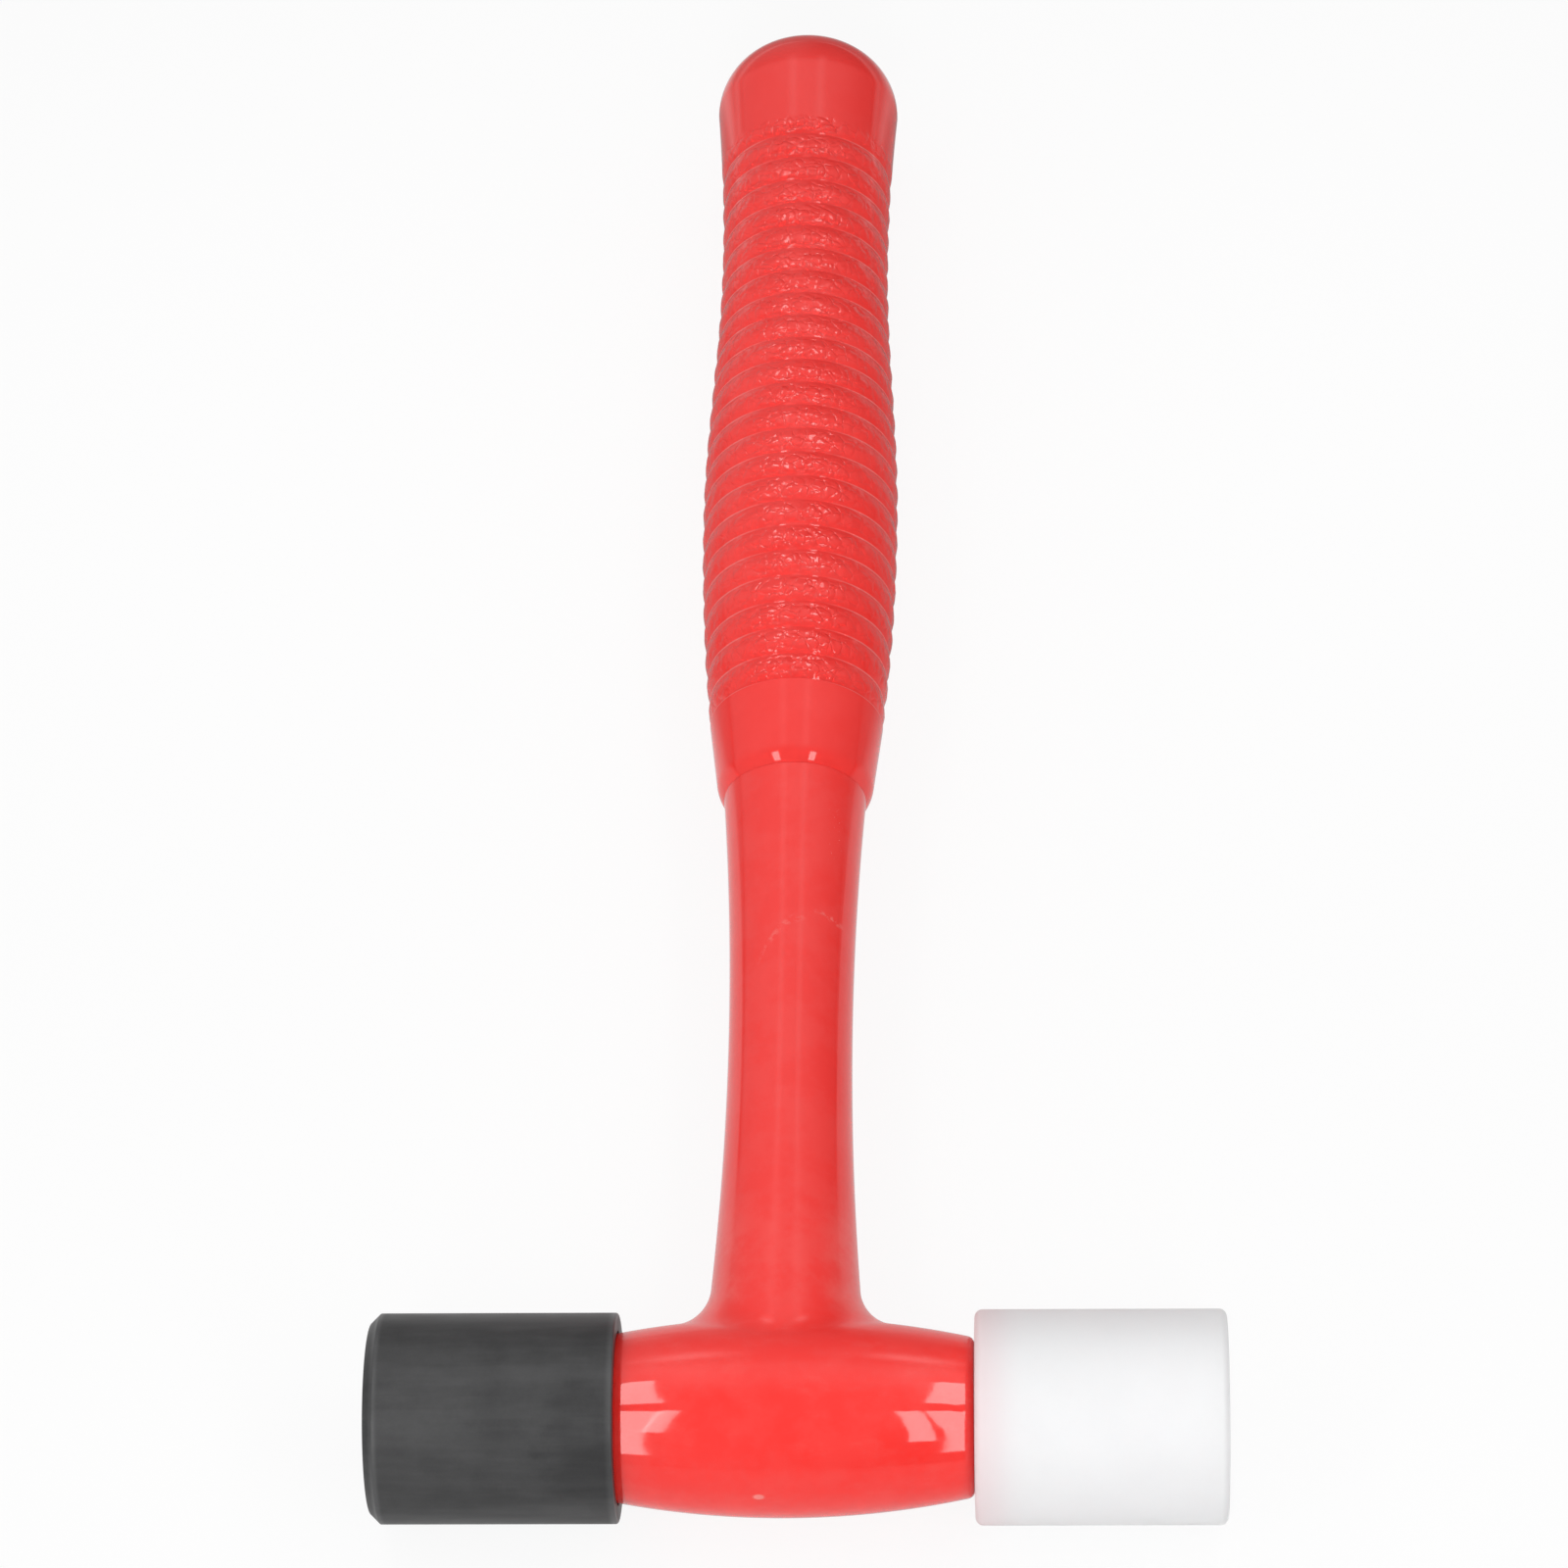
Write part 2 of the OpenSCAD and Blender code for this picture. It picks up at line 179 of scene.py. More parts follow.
class NodeSheet:
    """A node tree, for a material or a mesh, that code fills in."""

    def __init__(self, tree: bpy.types.NodeTree) -> None:
        """Keeps the tree."""
        self.tree = tree

    def node(
        self,
        kind: str,
        settings: Mapping[str, Any] | None = None,
        sockets: Mapping[str | int, Any] | None = None,
    ) -> bpy.types.Node:
        """Adds one node.

        Args:
            kind: Blender's type of the node.
            settings: Properties, set first.
            sockets: Values or links of its inputs, by name, identifier or number.

        Returns:
            The new node.
        """
        made = self.tree.nodes.new(kind)
        for key, value in (settings or {}).items():
            setattr(made, key, value)
        for key, value in (sockets or {}).items():
            self._feed(self._find(made.inputs, key), value)
        return made

    def out(self, node: bpy.types.Node, key: str | int = 0) -> Value:
        """Gives an output of a node as a number.

        Args:
            node: The node.
            key: The output's name, identifier or number.

        Returns:
            The output.
        """
        return Value(self, self._find(node.outputs, key))

    def math(self, operation: str, *inputs: Value | float) -> Value:
        """Adds a Math node.

        Args:
            operation: Its operation.
            inputs: Its numbers.

        Returns:
            Its result.
        """
        return self.out(self.node("ShaderNodeMath", {"operation": operation}, dict(enumerate(inputs))))

    def blend(self, share: Value | float, first: Any, second: Any) -> Socket:
        """Mixes two colours.

        Args:
            share: How much of the second colour shows.
            first: The first colour, or a link.
            second: The second colour, or a link.

        Returns:
            The mixed colour.
        """
        sockets = {"Factor_Float": share, "A_Color": first, "B_Color": second}
        node = self.node("ShaderNodeMix", {"data_type": "RGBA"}, sockets)
        return self._find(node.outputs, "Result_Color")

    def stretched(self, place: Any, scale: Triple) -> Socket:
        """Scales coordinates apart along the three axes.

        Args:
            place: Coordinates.
            scale: Factor along each axis.

        Returns:
            The new coordinates.
        """
        made = self.node("ShaderNodeVectorMath", {"operation": "MULTIPLY"}, {0: place, 1: scale})
        return made.outputs["Vector"]

    def noise(self, place: Any, scale: float, detail: float, roughness: float = 0.55) -> Value:
        """Adds a Noise texture.

        Args:
            place: Coordinates.
            scale: Features per metre.
            detail: Octaves.
            roughness: Weight of the finer octaves.

        Returns:
            Noise from 0 to 1.
        """
        sockets = {"Vector": place, "Scale": scale, "Detail": detail, "Roughness": roughness}
        return self.out(self.node("ShaderNodeTexNoise", {}, sockets), "Fac")

    def bump(self, strength: float, depth_m: float, height: Value) -> Socket:
        """Adds a Bump node.

        Args:
            strength: Its strength.
            depth_m: The depth that a height of 1 stands for.
            height: The height.

        Returns:
            The bent normal.
        """
        sockets = {"Strength": strength, "Distance": depth_m, "Height": height}
        return self.node("ShaderNodeBump", {}, sockets).outputs["Normal"]

    def split(self, vector: Any) -> tuple[Value, Value, Value]:
        """Gives the three numbers of a vector."""
        parts = self.node("ShaderNodeSeparateXYZ", {}, {0: vector})
        return self.out(parts, 0), self.out(parts, 1), self.out(parts, 2)

    def vector(self, x: Value, y: Value | float, z: Value) -> Socket:
        """Makes a vector of three numbers."""
        return self.node("ShaderNodeCombineXYZ", {}, {0: x, 1: y, 2: z}).outputs[0]

    @staticmethod
    def _find(sockets: Any, key: str | int) -> Socket:
        """Finds a socket.

        Args:
            sockets: A node's inputs or outputs.
            key: Number, identifier or name.

        Returns:
            The socket.
        """
        if isinstance(key, int):
            return sockets[key]
        for socket in sockets:
            if socket.identifier == key:
                return socket
        return next(socket for socket in sockets if socket.name == key and socket.enabled)

    def _feed(self, socket: Socket, value: Any) -> None:
        """Links or sets an input.

        Args:
            socket: The input.
            value: A number, a colour, a Value or an output socket.
        """
        if isinstance(value, Value):
            value = value.socket
        if isinstance(value, Socket):
            self.tree.links.new(value, socket)
        else:
            socket.default_value = value


class Finish:
    """A material of the hammer, made once and shared by every piece that wears it."""

    made: dict[str, bpy.types.Material] = {}

    @property
    def title(self) -> str:
        """The material's name."""
        return type(self).__name__

    def material(self) -> bpy.types.Material:
        """Gives the material, which is made at its first use.

        Returns:
            The material.
        """
        if self.title not in Finish.made:
            material = bpy.data.materials.new(self.title)
            material.use_nodes = True
            material.node_tree.nodes.clear()
            sheet = NodeSheet(material.node_tree)
            sheet.node("ShaderNodeOutputMaterial", {}, {"Surface": self.surface(sheet)})
            Finish.made[self.title] = material
        return Finish.made[self.title]

    def surface(self, sheet: NodeSheet) -> Socket:
        """Builds the shader.

        Args:
            sheet: The material's tree.

        Returns:
            The shader's output.
        """
        look = self.look(sheet, self.place(sheet))
        return sheet.node("ShaderNodeBsdfPrincipled", {}, look).outputs["BSDF"]

    def look(self, sheet: NodeSheet, place: Socket) -> dict[str, Any]:
        """Works out what the shader shows.

        Args:
            sheet: The material's tree.
            place: Object coordinates.

        Returns:
            Inputs of the Principled shader, by name.
        """
        raise NotImplementedError

    @staticmethod
    def place(sheet: NodeSheet) -> Socket:
        """Gives the Object coordinates, which are the row frame's, in metres."""
        return sheet.node("ShaderNodeTexCoord").outputs["Object"]

    @staticmethod
    def from_crossing(sheet: NodeSheet, place: Socket) -> tuple[Value, Value, Value]:
        """Measures a place from the crossing of the axes.

        Args:
            sheet: The material's tree.
            place: Object coordinates.

        Returns:
            Millimetres along the head, along the handle and up.
        """
        across, along, up = (part / MM - float(zero) for part, zero in zip(sheet.split(place), CROSSING))
        return across, along, up


@dataclass(frozen=True)
class MouldedRed(Finish):
    """Glossy red moulded plastic with handling marks, and a painted pale reflection round the root of the
    shank, strongest at its sides.
    """

    deep: Colour = (0.96, 0.020, 0.014, 1.0)
    pale: Colour = (0.96, 0.037, 0.030, 1.0)
    # Pale pink of the scuffs and smudges, and of the painted reflection round the root of the shank.
    scuff_and_sheen_pink: Colour = (0.96, 0.34, 0.31, 1.0)
    gloss: float = 0.045
    shine: float = 0.76
    cloud_per_m: float = 130.0
    dust_per_m: float = 2400.0
    patch_per_m: float = 900.0
    pit_per_m: float = 2600.0
    smear_per_m: float = 330.0
    ripple_per_m: float = 260.0
    ripple_depth_m: float = 0.0004
    rub_along_mm: float = 77.2
    rub_middle_mm: float = 1.6
    rub_bend_per_mm: float = 0.175
    stroke_start_mm: float = 3.8
    stroke_lead_mm: float = 1.5
    stroke_slope: float = 0.22
    pits_across_mm: float = 6.3
    pits_along_mm: float = 93.0
    nick_mm: Triple = (-3.1, -13.6, 2.4)

    def rubs(self, sheet: NodeSheet, place: Socket) -> Value:
        """Marks where the shank was scuffed and the barrel was nicked.

        Args:
            sheet: The material's tree.
            place: Object coordinates.

        Returns:
            1 on a mark, 0 elsewhere.
        """
        across, along, up = self.from_crossing(sheet, place)
        patchy = sheet.noise(place, self.patch_per_m, 4.0, 0.65).eased(0.42, 0.66)
        fine = sheet.noise(place, self.pit_per_m, 2.0)
        aside = across - self.rub_middle_mm
        bow = aside * aside * self.rub_bend_per_mm + along - self.rub_along_mm
        arc = abs(bow).eased(1.1, 0.1) * across.eased(-5.0, -3.6) * across.eased(2.8, 0.8)
        tilt = (across - self.stroke_start_mm) * self.stroke_slope
        lean = along - self.rub_along_mm - self.stroke_lead_mm + tilt
        stroke = abs(lean).eased(0.8, 0.1) * across.eased(3.2, 4.4) * across.eased(7.8, 6.8)
        near_pits = abs(across - self.pits_across_mm).eased(1.6, 0.4)
        pits = fine.eased(0.66, 0.74) * near_pits * abs(along - self.pits_along_mm).eased(6.5, 3.0)
        on_top = up.eased(2.0, 4.0)
        x, y, z = (value - spot for value, spot in zip((across, along, up), self.nick_mm))
        nick = (x * x * 0.5 + y * y + z * z).of("SQRT").eased(0.75, 0.35)
        marks = (arc * 0.4 + stroke * 0.6) * patchy + pits * 0.8
        return sheet.math("MAXIMUM", marks * on_top, nick)

    def look(self, sheet: NodeSheet, place: Socket) -> dict[str, Any]:
        """Works out what the shader shows.

        Args:
            sheet: The material's tree.
            place: Object coordinates.

        Returns:
            Inputs of the Principled shader, by name.
        """
        cloud = sheet.noise(place, self.cloud_per_m, 5.0, 0.65).eased(0.38, 0.62)
        dust = sheet.noise(place, self.dust_per_m, 2.0).eased(0.62, 0.80)
        marks = self.rubs(sheet, place)
        across, along, up = self.from_crossing(sheet, place)
        # Painted reflection: the top of the shank's root is faintly paled and its sides more, where the
        # concave fillet would mirror the pale surroundings.
        shank_root_sheen = along.eased(36.0, 20.0) * along.eased(11.0, 15.0) * up.eased(-4.0, 3.0)
        shank_root_side_sheen = shank_root_sheen * abs(across).eased(4.0, 10.0)
        bloom = along.eased(-1.0, 3.0) * along.eased(46.0, 24.0)
        drawn_out = sheet.stretched(place, (0.45, 1.0, 1.0))
        smears = sheet.noise(drawn_out, self.smear_per_m, 6.0, 0.7).eased(0.5, 0.72)
        clear_red = sheet.blend(cloud * 0.75 + dust * 0.15, self.deep, self.pale)
        smooth_red = sheet.blend(smears * along.eased(13.0, 8.0) * 0.045, clear_red, self.scuff_and_sheen_pink)
        plain = sheet.blend(shank_root_sheen * cloud * 0.03 + shank_root_side_sheen * (cloud * 0.1 + 0.12), smooth_red, self.scuff_and_sheen_pink)
        colour = sheet.blend(marks * 0.6, plain, self.scuff_and_sheen_pink)
        ripple = sheet.noise(place, self.ripple_per_m, 2.0)
        return {
            "Base Color": colour,
            "Roughness": self.gloss + cloud * 0.03 + marks * 0.3 + bloom * 0.16,
            "Specular IOR Level": self.shine,
            "Normal": sheet.bump(0.03, self.ripple_depth_m, ripple),
        }


@dataclass(frozen=True)
class GrainedRed(Finish):
    """Red grip plastic with a leather grain on its ribs, a painted highlight along each groove and smooth
    ends.
    """

    deep: Colour = (0.96, 0.020, 0.014, 1.0)
    pale: Colour = (0.98, 0.036, 0.029, 1.0)
    # Pale pink of the painted highlight along each groove.
    scuff_and_sheen_pink: Colour = (0.96, 0.36, 0.34, 1.0)
    first_groove_mm: float = 117.1
    last_groove_mm: float = 221.91
    rib_pitch_mm: float = 4.557
    grain_per_m: float = 560.0
    grain_depth_m: float = 0.00034
    crease_share: float = 0.12
    lump_share: float = 0.55
    dome_share: float = 0.45
    level: float = 0.25
    lump_per_m: float = 900.0
    bend_per_m: float = 600.0
    bend_m: float = 0.0012
    cloud_per_m: float = 95.0
    half_width_mm: float = 13.0
    gloss: float = 0.055
    shine: float = 0.76

    def look(self, sheet: NodeSheet, place: Socket) -> dict[str, Any]:
        """Works out what the shader shows.

        Args:
            sheet: The material's tree.
            place: Object coordinates.

        Returns:
            Inputs of the Principled shader, by name.
        """
        across, along, _ = self.from_crossing(sheet, place)
        first, last, pitch = self.first_groove_mm, self.last_groove_mm, self.rib_pitch_mm
        beside = (0.5 - abs(((along - first) / pitch).of("FRACT") - 0.5)) * pitch
        in_ribs = along.eased(first - 0.3, first)
        # Painted highlight: a thin pale line along each groove, stronger towards the sides of the grip.
        groove_highlight = beside.eased(0.20, 0.05) * in_ribs * along.eased(last + 0.6, last + 0.3)
        crests = beside.eased(0.3, 1.0)
        tail = along.eased(last + 3.6, last + 2.4)
        grained = in_ribs * tail * sheet.math("MAXIMUM", crests, along.eased(last + 1, last + 2))
        wander = {"Vector": place, "Scale": self.bend_per_m, "Detail": 0.0}
        bend = sheet.node("ShaderNodeTexNoise", {}, wander).outputs["Color"]
        shifted = sheet.node(
            "ShaderNodeVectorMath", {"operation": "MULTIPLY_ADD"}, {0: bend, 1: (self.bend_m,) * 3, 2: place}
        )
        spots = {"Vector": shifted.outputs["Vector"], "Scale": self.grain_per_m}
        domes = sheet.out(sheet.node("ShaderNodeTexVoronoi", {"feature": "F1"}, spots), "Distance")
        cracks = sheet.node("ShaderNodeTexVoronoi", {"feature": "DISTANCE_TO_EDGE"}, spots)
        crease = sheet.out(cracks, "Distance").eased(0.0, 0.14)
        lumps = sheet.noise(place, self.lump_per_m, 0.0)
        aside = abs(across) / self.half_width_mm
        calm = 1 - aside.eased(0.4, 0.85) * 0.35
        swells = crease * self.crease_share + lumps * self.lump_share
        height = (swells - domes * domes * self.dome_share - self.level) * grained * calm
        cloud = sheet.noise(place, self.cloud_per_m, 4.0).eased(0.35, 0.68)
        plain = sheet.blend(cloud * 0.6 + grained * 0.2, self.deep, self.pale)
        colour = sheet.blend(groove_highlight * aside.eased(0.25, 0.9) * 0.4, plain, self.scuff_and_sheen_pink)
        return {
            "Base Color": colour,
            "Roughness": self.gloss + grained * 0.05 + cloud * 0.02,
            "Specular IOR Level": self.shine,
            "Normal": sheet.bump(1.0, self.grain_depth_m, height),
        }


@dataclass(frozen=True)
class SatinRubber(Finish):
    """Hard black rubber, satin and faintly mottled, with a lighter rim at the bevel and at the skirt's mouth,
    partly wear and partly a painted edge highlight.
    """

    dark: Colour = (0.015, 0.015, 0.016, 1.0)
    light: Colour = (0.056, 0.056, 0.057, 1.0)
    # Light grey of the rim: partly wear, partly a painted edge highlight.
    wear_and_glint_grey: Colour = (0.105, 0.105, 0.107, 1.0)
    bevel_mm: float = -56.2
    mouth_mm: float = -23.2
    rough: float = 0.42
    cloud_per_m: float = 75.0
    streak_per_m: float = 420.0
    grit_per_m: float = 3200.0
    grit_depth_m: float = 0.00008

    def look(self, sheet: NodeSheet, place: Socket) -> dict[str, Any]:
        """Works out what the shader shows.

        Args:
            sheet: The material's tree.
            place: Object coordinates.

        Returns:
            Inputs of the Principled shader, by name.
        """
        cloud = sheet.noise(place, self.cloud_per_m, 6.0, 0.62).eased(0.36, 0.66)
        grit = sheet.noise(place, self.grit_per_m, 2.0)
        across, along, up = self.from_crossing(sheet, place)
        drawn_out = sheet.stretched(place, (0.12, 1.0, 1.0))
        streaks = sheet.noise(drawn_out, self.streak_per_m, 3.0).eased(0.35, 0.7)
        radius = (along * along + up * up).of("SQRT")
        # Lighter rim at the bevel's corner and the skirt's mouth: partly wear, partly a painted edge
        # highlight.
        corner = abs(across - self.bevel_mm).eased(0.8, 0.15) * radius.eased(13.6, 14.3)
        mouth = abs(across - self.mouth_mm).eased(1.1, 0.2) * radius.eased(13.8, 14.4)
        wear_and_glint = (corner + mouth) * (cloud * 0.5 + 0.5)
        body = sheet.blend(cloud * 0.5 + streaks * 0.3 + grit * 0.2, self.dark, self.light)
        colour = sheet.blend(wear_and_glint * 0.55, body, self.wear_and_glint_grey)
        return {
            "Base Color": colour,
            "Roughness": self.rough + cloud * 0.10 - wear_and_glint * 0.12,
            "IOR": 1.5,
            "Normal": sheet.bump(0.12, self.grit_depth_m, grit),
        }


@dataclass(frozen=True)
class MattNylon(Finish):
    """White nylon, matt and a little translucent, with a painted pink tint of red bounce light from the
    barrel near its back end.
    """

    white: Colour = (0.865, 0.865, 0.875, 1.0)
    shade: Colour = (0.845, 0.845, 0.855, 1.0)
    red_bounce_tint: Colour = (0.83, 0.715, 0.735, 1.0)
    red_bounce_start_mm: float = 26.0
    red_bounce_end_mm: float = 34.0
    rough: float = 0.46
    depth_m: Triple = (0.010, 0.0096, 0.0095)
    cloud_per_m: float = 60.0
    grit_per_m: float = 2600.0
    grit_depth_m: float = 0.00008

    def look(self, sheet: NodeSheet, place: Socket) -> dict[str, Any]:
        """Works out what the shader shows.

        Args:
            sheet: The material's tree.
            place: Object coordinates.

        Returns:
            Inputs of the Principled shader, by name.
        """
        across, _, _ = self.from_crossing(sheet, place)
        cloud = sheet.noise(place, self.cloud_per_m, 4.0).eased(0.32, 0.70)
        grit = sheet.noise(place, self.grit_per_m, 2.0)
        clean = sheet.blend(cloud, self.white, self.shade)
        # Painted red bounce light: the end of the face next to the red barrel is tinted pink.
        colour = sheet.blend(across.eased(self.red_bounce_end_mm, self.red_bounce_start_mm), clean, self.red_bounce_tint)
        return {
            "Base Color": colour,
            "Roughness": self.rough + cloud * 0.06,
            "IOR": 1.5,
            "Subsurface Weight": 0.7,
            "Subsurface Radius": self.depth_m,
            "Subsurface Scale": 1.0,
            "Normal": sheet.bump(0.10, self.grit_depth_m, grit),
        }


@dataclass(frozen=True)
class TurnedSteel(Finish):
    """Bare turned steel with fine tool marks."""

    bright: Colour = (0.56, 0.57, 0.58, 1.0)
    dull: Colour = (0.40, 0.40, 0.41, 1.0)
    rough: float = 0.32
    mark_per_m: float = 1800.0
    mark_depth_m: float = 0.00005
    cloud_per_m: float = 160.0

    def look(self, sheet: NodeSheet, place: Socket) -> dict[str, Any]:
        """Works out what the shader shows.

        Args:
            sheet: The material's tree.
            place: Object coordinates.

        Returns:
            Inputs of the Principled shader, by name.
        """
        marks = sheet.noise(place, self.mark_per_m, 3.0)
        cloud = sheet.noise(place, self.cloud_per_m, 4.0).eased(0.3, 0.7)
        return {
            "Base Color": sheet.blend(cloud, self.bright, self.dull),
            "Metallic": 1.0,
            "Roughness": self.rough + marks * 0.10,
            "Normal": sheet.bump(0.15, self.mark_depth_m, marks),
        }


@dataclass(frozen=True)
class PlatedSteel(TurnedSteel):
    """Zinc plated steel of the threaded studs."""

    bright: Colour = (0.68, 0.69, 0.70, 1.0)
    dull: Colour = (0.55, 0.56, 0.59, 1.0)
    rough: float = 0.22


@dataclass(frozen=True)
class SpringSteel(TurnedSteel):
    """Darker hardened steel of the lock washers."""

    bright: Colour = (0.44, 0.44, 0.46, 1.0)
    dull: Colour = (0.27, 0.27, 0.29, 1.0)
    rough: float = 0.30


def unit(vector: np.ndarray) -> np.ndarray:
    """Scales a vector to length 1."""
    return vector / np.linalg.norm(vector)


def arc_between(start: np.ndarray, end: np.ndarray, share: float) -> np.ndarray:
    """Turns one unit vector towards another.

    Args:
        start: Where the turn starts.
        end: Where it ends.
        share: How far along the turn, from 0 to 1.

    Returns:
        A unit vector between them.
    """
    angle = math.acos(max(-1.0, min(1.0, float(start @ end))))
    if angle < TINY:
        return start
    return (math.sin((1 - share) * angle) * start + math.sin(share * angle) * end) / math.sin(angle)


def shares(count: int, start: int = 1) -> list[float]:
    """Divides 1 into equal steps and gives their ends, from the step with the number start on."""
    return [step / count for step in range(start, count + 1)]


def rounded_path(corners: Sequence[Triple], steps: int) -> Outline:
    """Rounds the corners of a section's outline.

    Args:
        corners: Place along the axis, radius and rounding of each corner, in millimetres.
        steps: Straight pieces in each rounding.

    Returns:
        Places along the axis with their radius, in millimetres.
    """
    path: Outline = []
    for i, (along, radius, rounding) in enumerate(corners):
        here = np.array((along, radius))
        if rounding <= 0 or i in (0, len(corners) - 1):
            path.append((along, radius))
            continue
        before = unit(np.array(corners[i - 1][:2]) - here)
        after = unit(np.array(corners[i + 1][:2]) - here)
        half = math.acos(float(before @ after)) / 2
        centre = here + unit(before + after) * rounding / math.sin(half)
        first = unit(here + before * rounding / math.tan(half) - centre)
        last = unit(here + after * rounding / math.tan(half) - centre)
        for share in shares(steps, 0):
            path.append(tuple(centre + rounding * arc_between(first, last, share)))
    return path


class Shell:
    """Points and faces of a mesh in the making, in millimetres from the crossing of the axes."""

    def __init__(self) -> None:
        """Starts empty."""
        self.points: list[Triple] = []
        self.faces: list[tuple[int, ...]] = []

    def ring(self, points: Sequence[Sequence[float]]) -> list[int]:
        """Adds points.

        Args:
            points: The points.

        Returns:
            Their numbers.
        """
        first = len(self.points)
        self.points.extend(tuple(map(float, p)) for p in points)
        return list(range(first, len(self.points)))

    def band(self, first: Sequence[int], second: Sequence[int], closed: bool = True) -> None:
        """Joins two rows of points of the same length with faces.

        Args:
            first: One row.
            second: The other row.
            closed: Whether the rows run all the way round.
        """
        count = len(first)
        for i in range(count if closed else count - 1):
            j = (i + 1) % count
            self.faces.append((first[i], first[j], second[j], second[i]))

    def fan(self, row: Sequence[int], tip: Sequence[float]) -> None:
        """Closes a ring with triangles to one point.

        Args:
            row: The ring.
            tip: The point.
        """
        (middle,) = self.ring([tip])
        for i, here in enumerate(row):
            self.faces.append((here, row[(i + 1) % len(row)], middle))

    def turned(self, path: Outline, axis: Axis, steps: int, loop: bool = False) -> None:
        """Turns an outline round an axis.

        Args:
            path: Places along the axis with their radius. A radius of 0 closes an end.
            axis: The axis.
            steps: Faces round it.
            loop: Whether the outline closes on itself.
        """
        angles = np.arange(steps) * 2 * math.pi / steps
        rings: list[list[int]] = []
        tips: dict[int, Triple] = {}
        for number, (along, radius) in enumerate(path):
            if radius < TINY:
                tips[number] = (along, 0, 0) if axis is Axis.HEAD else (0, along, 0)
                rings.append([])
                continue
            level = np.full(steps, along)
            if axis is Axis.HEAD:
                points = np.stack((level, radius * np.cos(angles), radius * np.sin(angles)), axis=1)
            else:
                points = np.stack((radius * np.sin(angles), level, radius * np.cos(angles)), axis=1)
            rings.append(self.ring(points))
        pairs = list(zip(range(len(path) - 1), range(1, len(path))))
        if loop:
            pairs.append((len(path) - 1, 0))
        for a, b in pairs:
            if a in tips:
                self.fan(rings[b], tips[a])
            elif b in tips:
                self.fan(rings[a], tips[b])
            else:
                self.band(rings[a], rings[b])

    def mesh(self, name: str) -> bpy.types.Mesh:
        """Makes the mesh in the row frame, in metres, with its faces pointing outwards.

        Args:
            name: The mesh's name.

        Returns:
            The mesh.
        """
        made = bpy.data.meshes.new(name)
        placed = (np.array(self.points) + CROSSING) * MM
        made.from_pydata(placed.tolist(), [], self.faces)
        close_mesh(made)
        return made


def close_mesh(mesh: bpy.types.Mesh) -> None:
    """Merges a mesh's doubles and points its faces outwards.

    Args:
        mesh: The mesh.
    """
    work = bmesh.new()
    work.from_mesh(mesh)
    bmesh.ops.remove_doubles(work, verts=work.verts, dist=NEAR_M)
    bmesh.ops.recalc_face_normals(work, faces=work.faces)
    work.to_mesh(mesh)
    work.free()


class MeshTree:
    """A Geometry Nodes tree made in code, whose result becomes a plain mesh."""

    def __init__(self, name: str, inputs: Mapping[str, Any]) -> None:
        """Starts the tree.

        Args:
            name: The tree's name.
            inputs: Its named sizes, counts and materials.
        """
        self.tree = bpy.data.node_groups.new(name, "GeometryNodeTree")
        self.sheet = NodeSheet(self.tree)
        self.inputs = dict(inputs)
        self.identifiers: dict[str, str] = {}
        self.tree.interface.new_socket("Geometry", in_out="OUTPUT", socket_type="NodeSocketGeometry")
        self.tree.interface.new_socket("Geometry", in_out="INPUT", socket_type="NodeSocketGeometry")
        for title, value in self.inputs.items():
            kind = self._kind(value)
            socket = self.tree.interface.new_socket(title, in_out="INPUT", socket_type=kind)
            self.identifiers[title] = socket.identifier
        self.entry = self.sheet.node("NodeGroupInput")

    @staticmethod
    def _kind(value: Any) -> str:
        """Names the socket type that fits a value."""
        if isinstance(value, bpy.types.Material):
            return "NodeSocketMaterial"
        return "NodeSocketInt" if isinstance(value, int) else "NodeSocketFloat"

    def take(self, title: str) -> Value:
        """Gives a named input, a number or a material."""
        return self.sheet.out(self.entry, self.identifiers[title])

    def on_head(self, made: Socket, x: float, turn: float) -> Socket:
        """Lays geometry that stands on its own z axis along the head.

        Args:
            made: The geometry.
            x: Its place along the head, in millimetres.
            turn: Its turn round the handle's axis, in radians.

        Returns:
            The geometry in its place.
        """
        place = tuple((CROSSING + np.array((x, 0, 0))) * MM)
        moves = {"Geometry": made, "Translation": place, "Rotation": (0.0, turn, 0.0)}
        return self.sheet.node("GeometryNodeTransform", {}, moves).outputs[0]

    def joined(self, made: Socket) -> Socket:
        """Adds new geometry to the mesh that the piece brings.

        Args:
            made: The new geometry.

        Returns:
            Both together.
        """
        both = self.sheet.node("GeometryNodeJoinGeometry", {}, {0: self.entry.outputs[0]})
        self.tree.links.new(made, both.inputs[0])
        return both.outputs[0]

    def close(self, geometry: Socket) -> None:
        """Ends the tree in plain geometry with the material of the input Finish.

        Args:
            geometry: What the tree has made.
        """
        whole = self.sheet.node("GeometryNodeRealizeInstances", {}, {"Geometry": geometry})
        dressed = self.sheet.node(
            "GeometryNodeSetMaterial", {}, {"Geometry": whole.outputs[0], "Material": self.take("Finish")}
        )
        self.sheet.node("NodeGroupOutput", {}, {"Geometry": dressed.outputs[0]})

    def bake(self, piece: bpy.types.Object) -> None:
        """Runs the tree on a piece and keeps the result as its plain mesh.

        Args:
            piece: The object, whose mesh goes into the tree.
        """
        modifier = piece.modifiers.new(self.tree.name, "NODES")
        modifier.node_group = self.tree
        for title, value in self.inputs.items():
            modifier[self.identifiers[title]] = value
        bpy.context.view_layer.update()
        graph = bpy.context.evaluated_depsgraph_get()
        result = bpy.data.meshes.new_from_object(piece.evaluated_get(graph), depsgraph=graph)
        piece.modifiers.clear()
        piece.data = result


